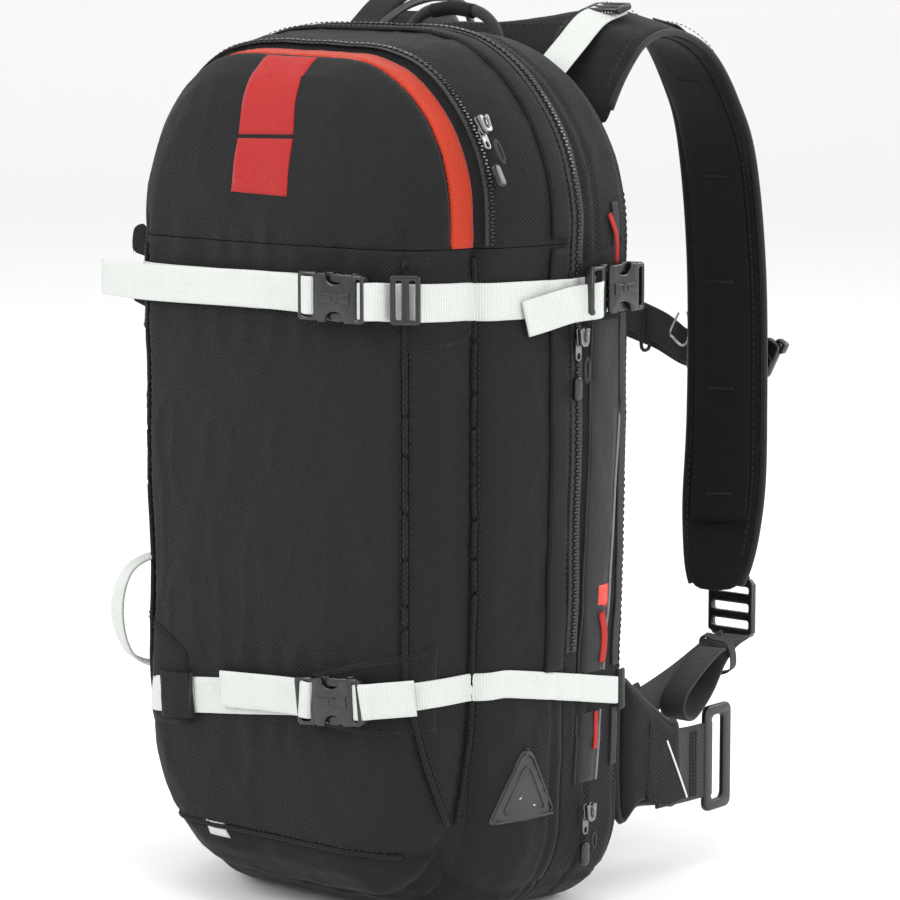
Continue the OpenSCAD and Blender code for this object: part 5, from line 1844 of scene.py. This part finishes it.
low_cut, high_cut = (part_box("divider_lower"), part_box("divider_upper"))
inner_sheet("divider_lower_piece", -45, low_cut[0][2] * 1000 + 1, low_cut[1][2] * 1000 - 0.5, "pack",
    "divider_lower")
inner_sheet("divider_upper_piece", -45, high_cut[0][2] * 1000 + 0.5, high_cut[1][2] * 1000 - 4, "lid",
    "divider_upper")
m = placed((0, 10, 4.0), X, Y)
plate("base_panel_piece", [rounded_rect(130, 42, 10)], 2.9, m, "smooth", "pack", bevel=0.8,
    replaces=["base_panel"], slot="smooth_fabric")

for side, tag in SIDES:
    # folded airbag: thin layers laid to and fro in a long packet, wrapped by two straps
    section = []
    for k in range(9):
        x = -8.4 + k * 2.1
        section += [(x, 9.2), (x + 0.7, 8.2)]
    section += [(9, 9), (9.3, 0), (9, -9)]
    for k in range(8, -1, -1):
        x = -8.4 + k * 2.1
        section += [(x + 0.7, -8.2), (x, -9.2)]
    section += [(-9.3, 0)]
    path = [(side * 107, 49.5, z) for z in np.linspace(133, 401, 60)]
    wave = np.array([[0.97 + 0.03 * math.sin(i * 1.7), 0.96 + 0.04 * math.sin(i * 0.9 + 1)]
        for i in range(60)])
    wave[0] = wave[-1] = (0.8, 0.8)
    sweep(f"airbag_{tag}_piece", path, section, X, "airbag_cloth", "pack", scale=wave,
        replaces=[f"airbag_{tag}"], slot="red_fabric")
    for k, z in enumerate((190, 340)):
        ring = [(side * 107 + 9.6 * a, 49.5 + 9.7 * b, z) for a,
            b in ((1, 1), (0, 1.02), (-1, 1), (-1.02, 0), (-1, -1), (0, -1.02), (1, -1), (1.02, 0))]
        cord(f"airbag_tie_{tag}_{k}", ring, 0.7, "tape_dark", "pack", sides=6, step=2, closed=True)

# pressure gauge: ring and ticks on the dial
ticks = []
for k in range(11):
    a = math.radians(-120 + 24 * k)
    long = 2.6 if k % 5 == 0 else 1.6
    d = np.array((math.sin(a), 0, math.cos(a)))
    p0, p1 = np.array((78, 5.1, 50)) + d * 10.6, np.array((78, 5.1, 50)) + d * (10.6 - long)
    ticks.append(ribbon(f"tick_{k}", [p0, (p0 + p1) / 2, p1], 0.55, 0.3, tuple(np.cross(d, Y)),
        "mark_red" if k < 3 else "plastic", "pack", step=0.8))
join(ticks, "dial_ticks")
bezel = [(78 + 12.5 * math.cos(q), 2.0, 50 + 12.5 * math.sin(q))
    for q in np.linspace(0, 2 * math.pi, 40, endpoint=False)]
cord("dial_bezel", bezel, 0.7, "alloy", "pack", side=Y, sides=8, step=1.5, closed=True)
bands = []
for k, x in enumerate((-96, -4, 26)):
    ring = [(x, 22 + 20.2 * math.cos(q), 50 + 20.2 * math.sin(q))
        for q in np.linspace(0, 2 * math.pi, 48, endpoint=False)]
    bands.append(cord(f"cartridge_band_{k}", ring, 0.5, "cartridge", "gas_cartridge", side=X, sides=8,
        step=2, closed=True))
join(bands, "cartridge_bands")

# ---------------------------------------------------------------- finishes for the CAD parts that stay
KEPT = {"frame_sheet": "sheet", "frame_stays": "alloy", "inflator_head": "alloy", "hose_left": "hose",
    "hose_right": "hose"}
KEPT.update(gauge_dial="plastic_white", gauge_needle="plastic_red", cartridge="cartridge",
    trigger_lever="steel")
for node, mat in KEPT.items():
    obj = NODES[node]
    obj = bpy.data.objects[obj] if isinstance(obj, str) else obj
    obj.data.materials.clear()
    obj.data.materials.append(MAT[mat])


# ---------------------------------------------------------------- sleeve and wings by the left straps
sleeve = strap_path(arc_at(x=75), arc_at(x=52), low_z, 4.1, -1, 20)
ribbon("lower_sleeve", sleeve, 25, 1.5, (0.11, 0, 1), "side_cloth", "pack", step=1.5, slot="black_fabric")
for k, x in enumerate((74.5, 52.5)):
    edge = strap_path(arc_at(x=x) - 0.6, arc_at(x=x) + 0.6, low_z, 4.5, -1, 3)[1]
    cord(f"lower_sleeve_edge_{k}", [np.array(edge) + (0, 0.5 * abs(h) / 9, h)
        for h in (-12.4, -6, 0, 6, 12.4)], 0.8, "tape_dark", "pack", side=X, sides=8, step=2)
m = placed((0, -60, 0), X, Z)
upper = [(-98, 356), (-104, 362), (-110, 371), (-113, 376), (-120, 373), (-121.6, 364), (-120, 359),
    (-110, 357)]
plate("wing_upper_left", [round_corners(upper, 3)], 1.5, m, "side_cloth", "pack", bevel=0.15,
    slot="black_fabric")
lower = [(-98, 337), (-98, 331), (-110, 328.5), (-121, 332), (-121.5, 337)]
plate("wing_lower_left_tab", [round_corners(lower, 2)], 1.5, m, "side_cloth", "pack", bevel=0.15,
    slot="black_fabric")


# ---------------------------------------------------------------- cloth and cable that cross a joint
def bend(names):
    for name in names:
        obj = bpy.data.objects[name]
        obj.parent = None
        obj.matrix_world = Matrix.Identity(4)
        del obj["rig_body"]
        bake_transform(obj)


bend(["upper_left_web"])
bend(["lower_left_web"])
bend(["upper_right_web"])
bend(["cable_outer_piece"])
RISING = [o.name for o in bpy.data.objects if o.name.startswith(("pad_binding_right", "pad_stitch_right",
    "shoulder_pad_right_piece"))]
bend(RISING)
LOW = [o.name for o in bpy.data.objects if o.name.startswith(("spare_web_", "web_keeper_"))]
for side, tag in SIDES:
    bend([n for n in LOW if tag in n] + [f"lower_harness_{tag}"])


# ---------------------------------------------------------------- finish
low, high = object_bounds()
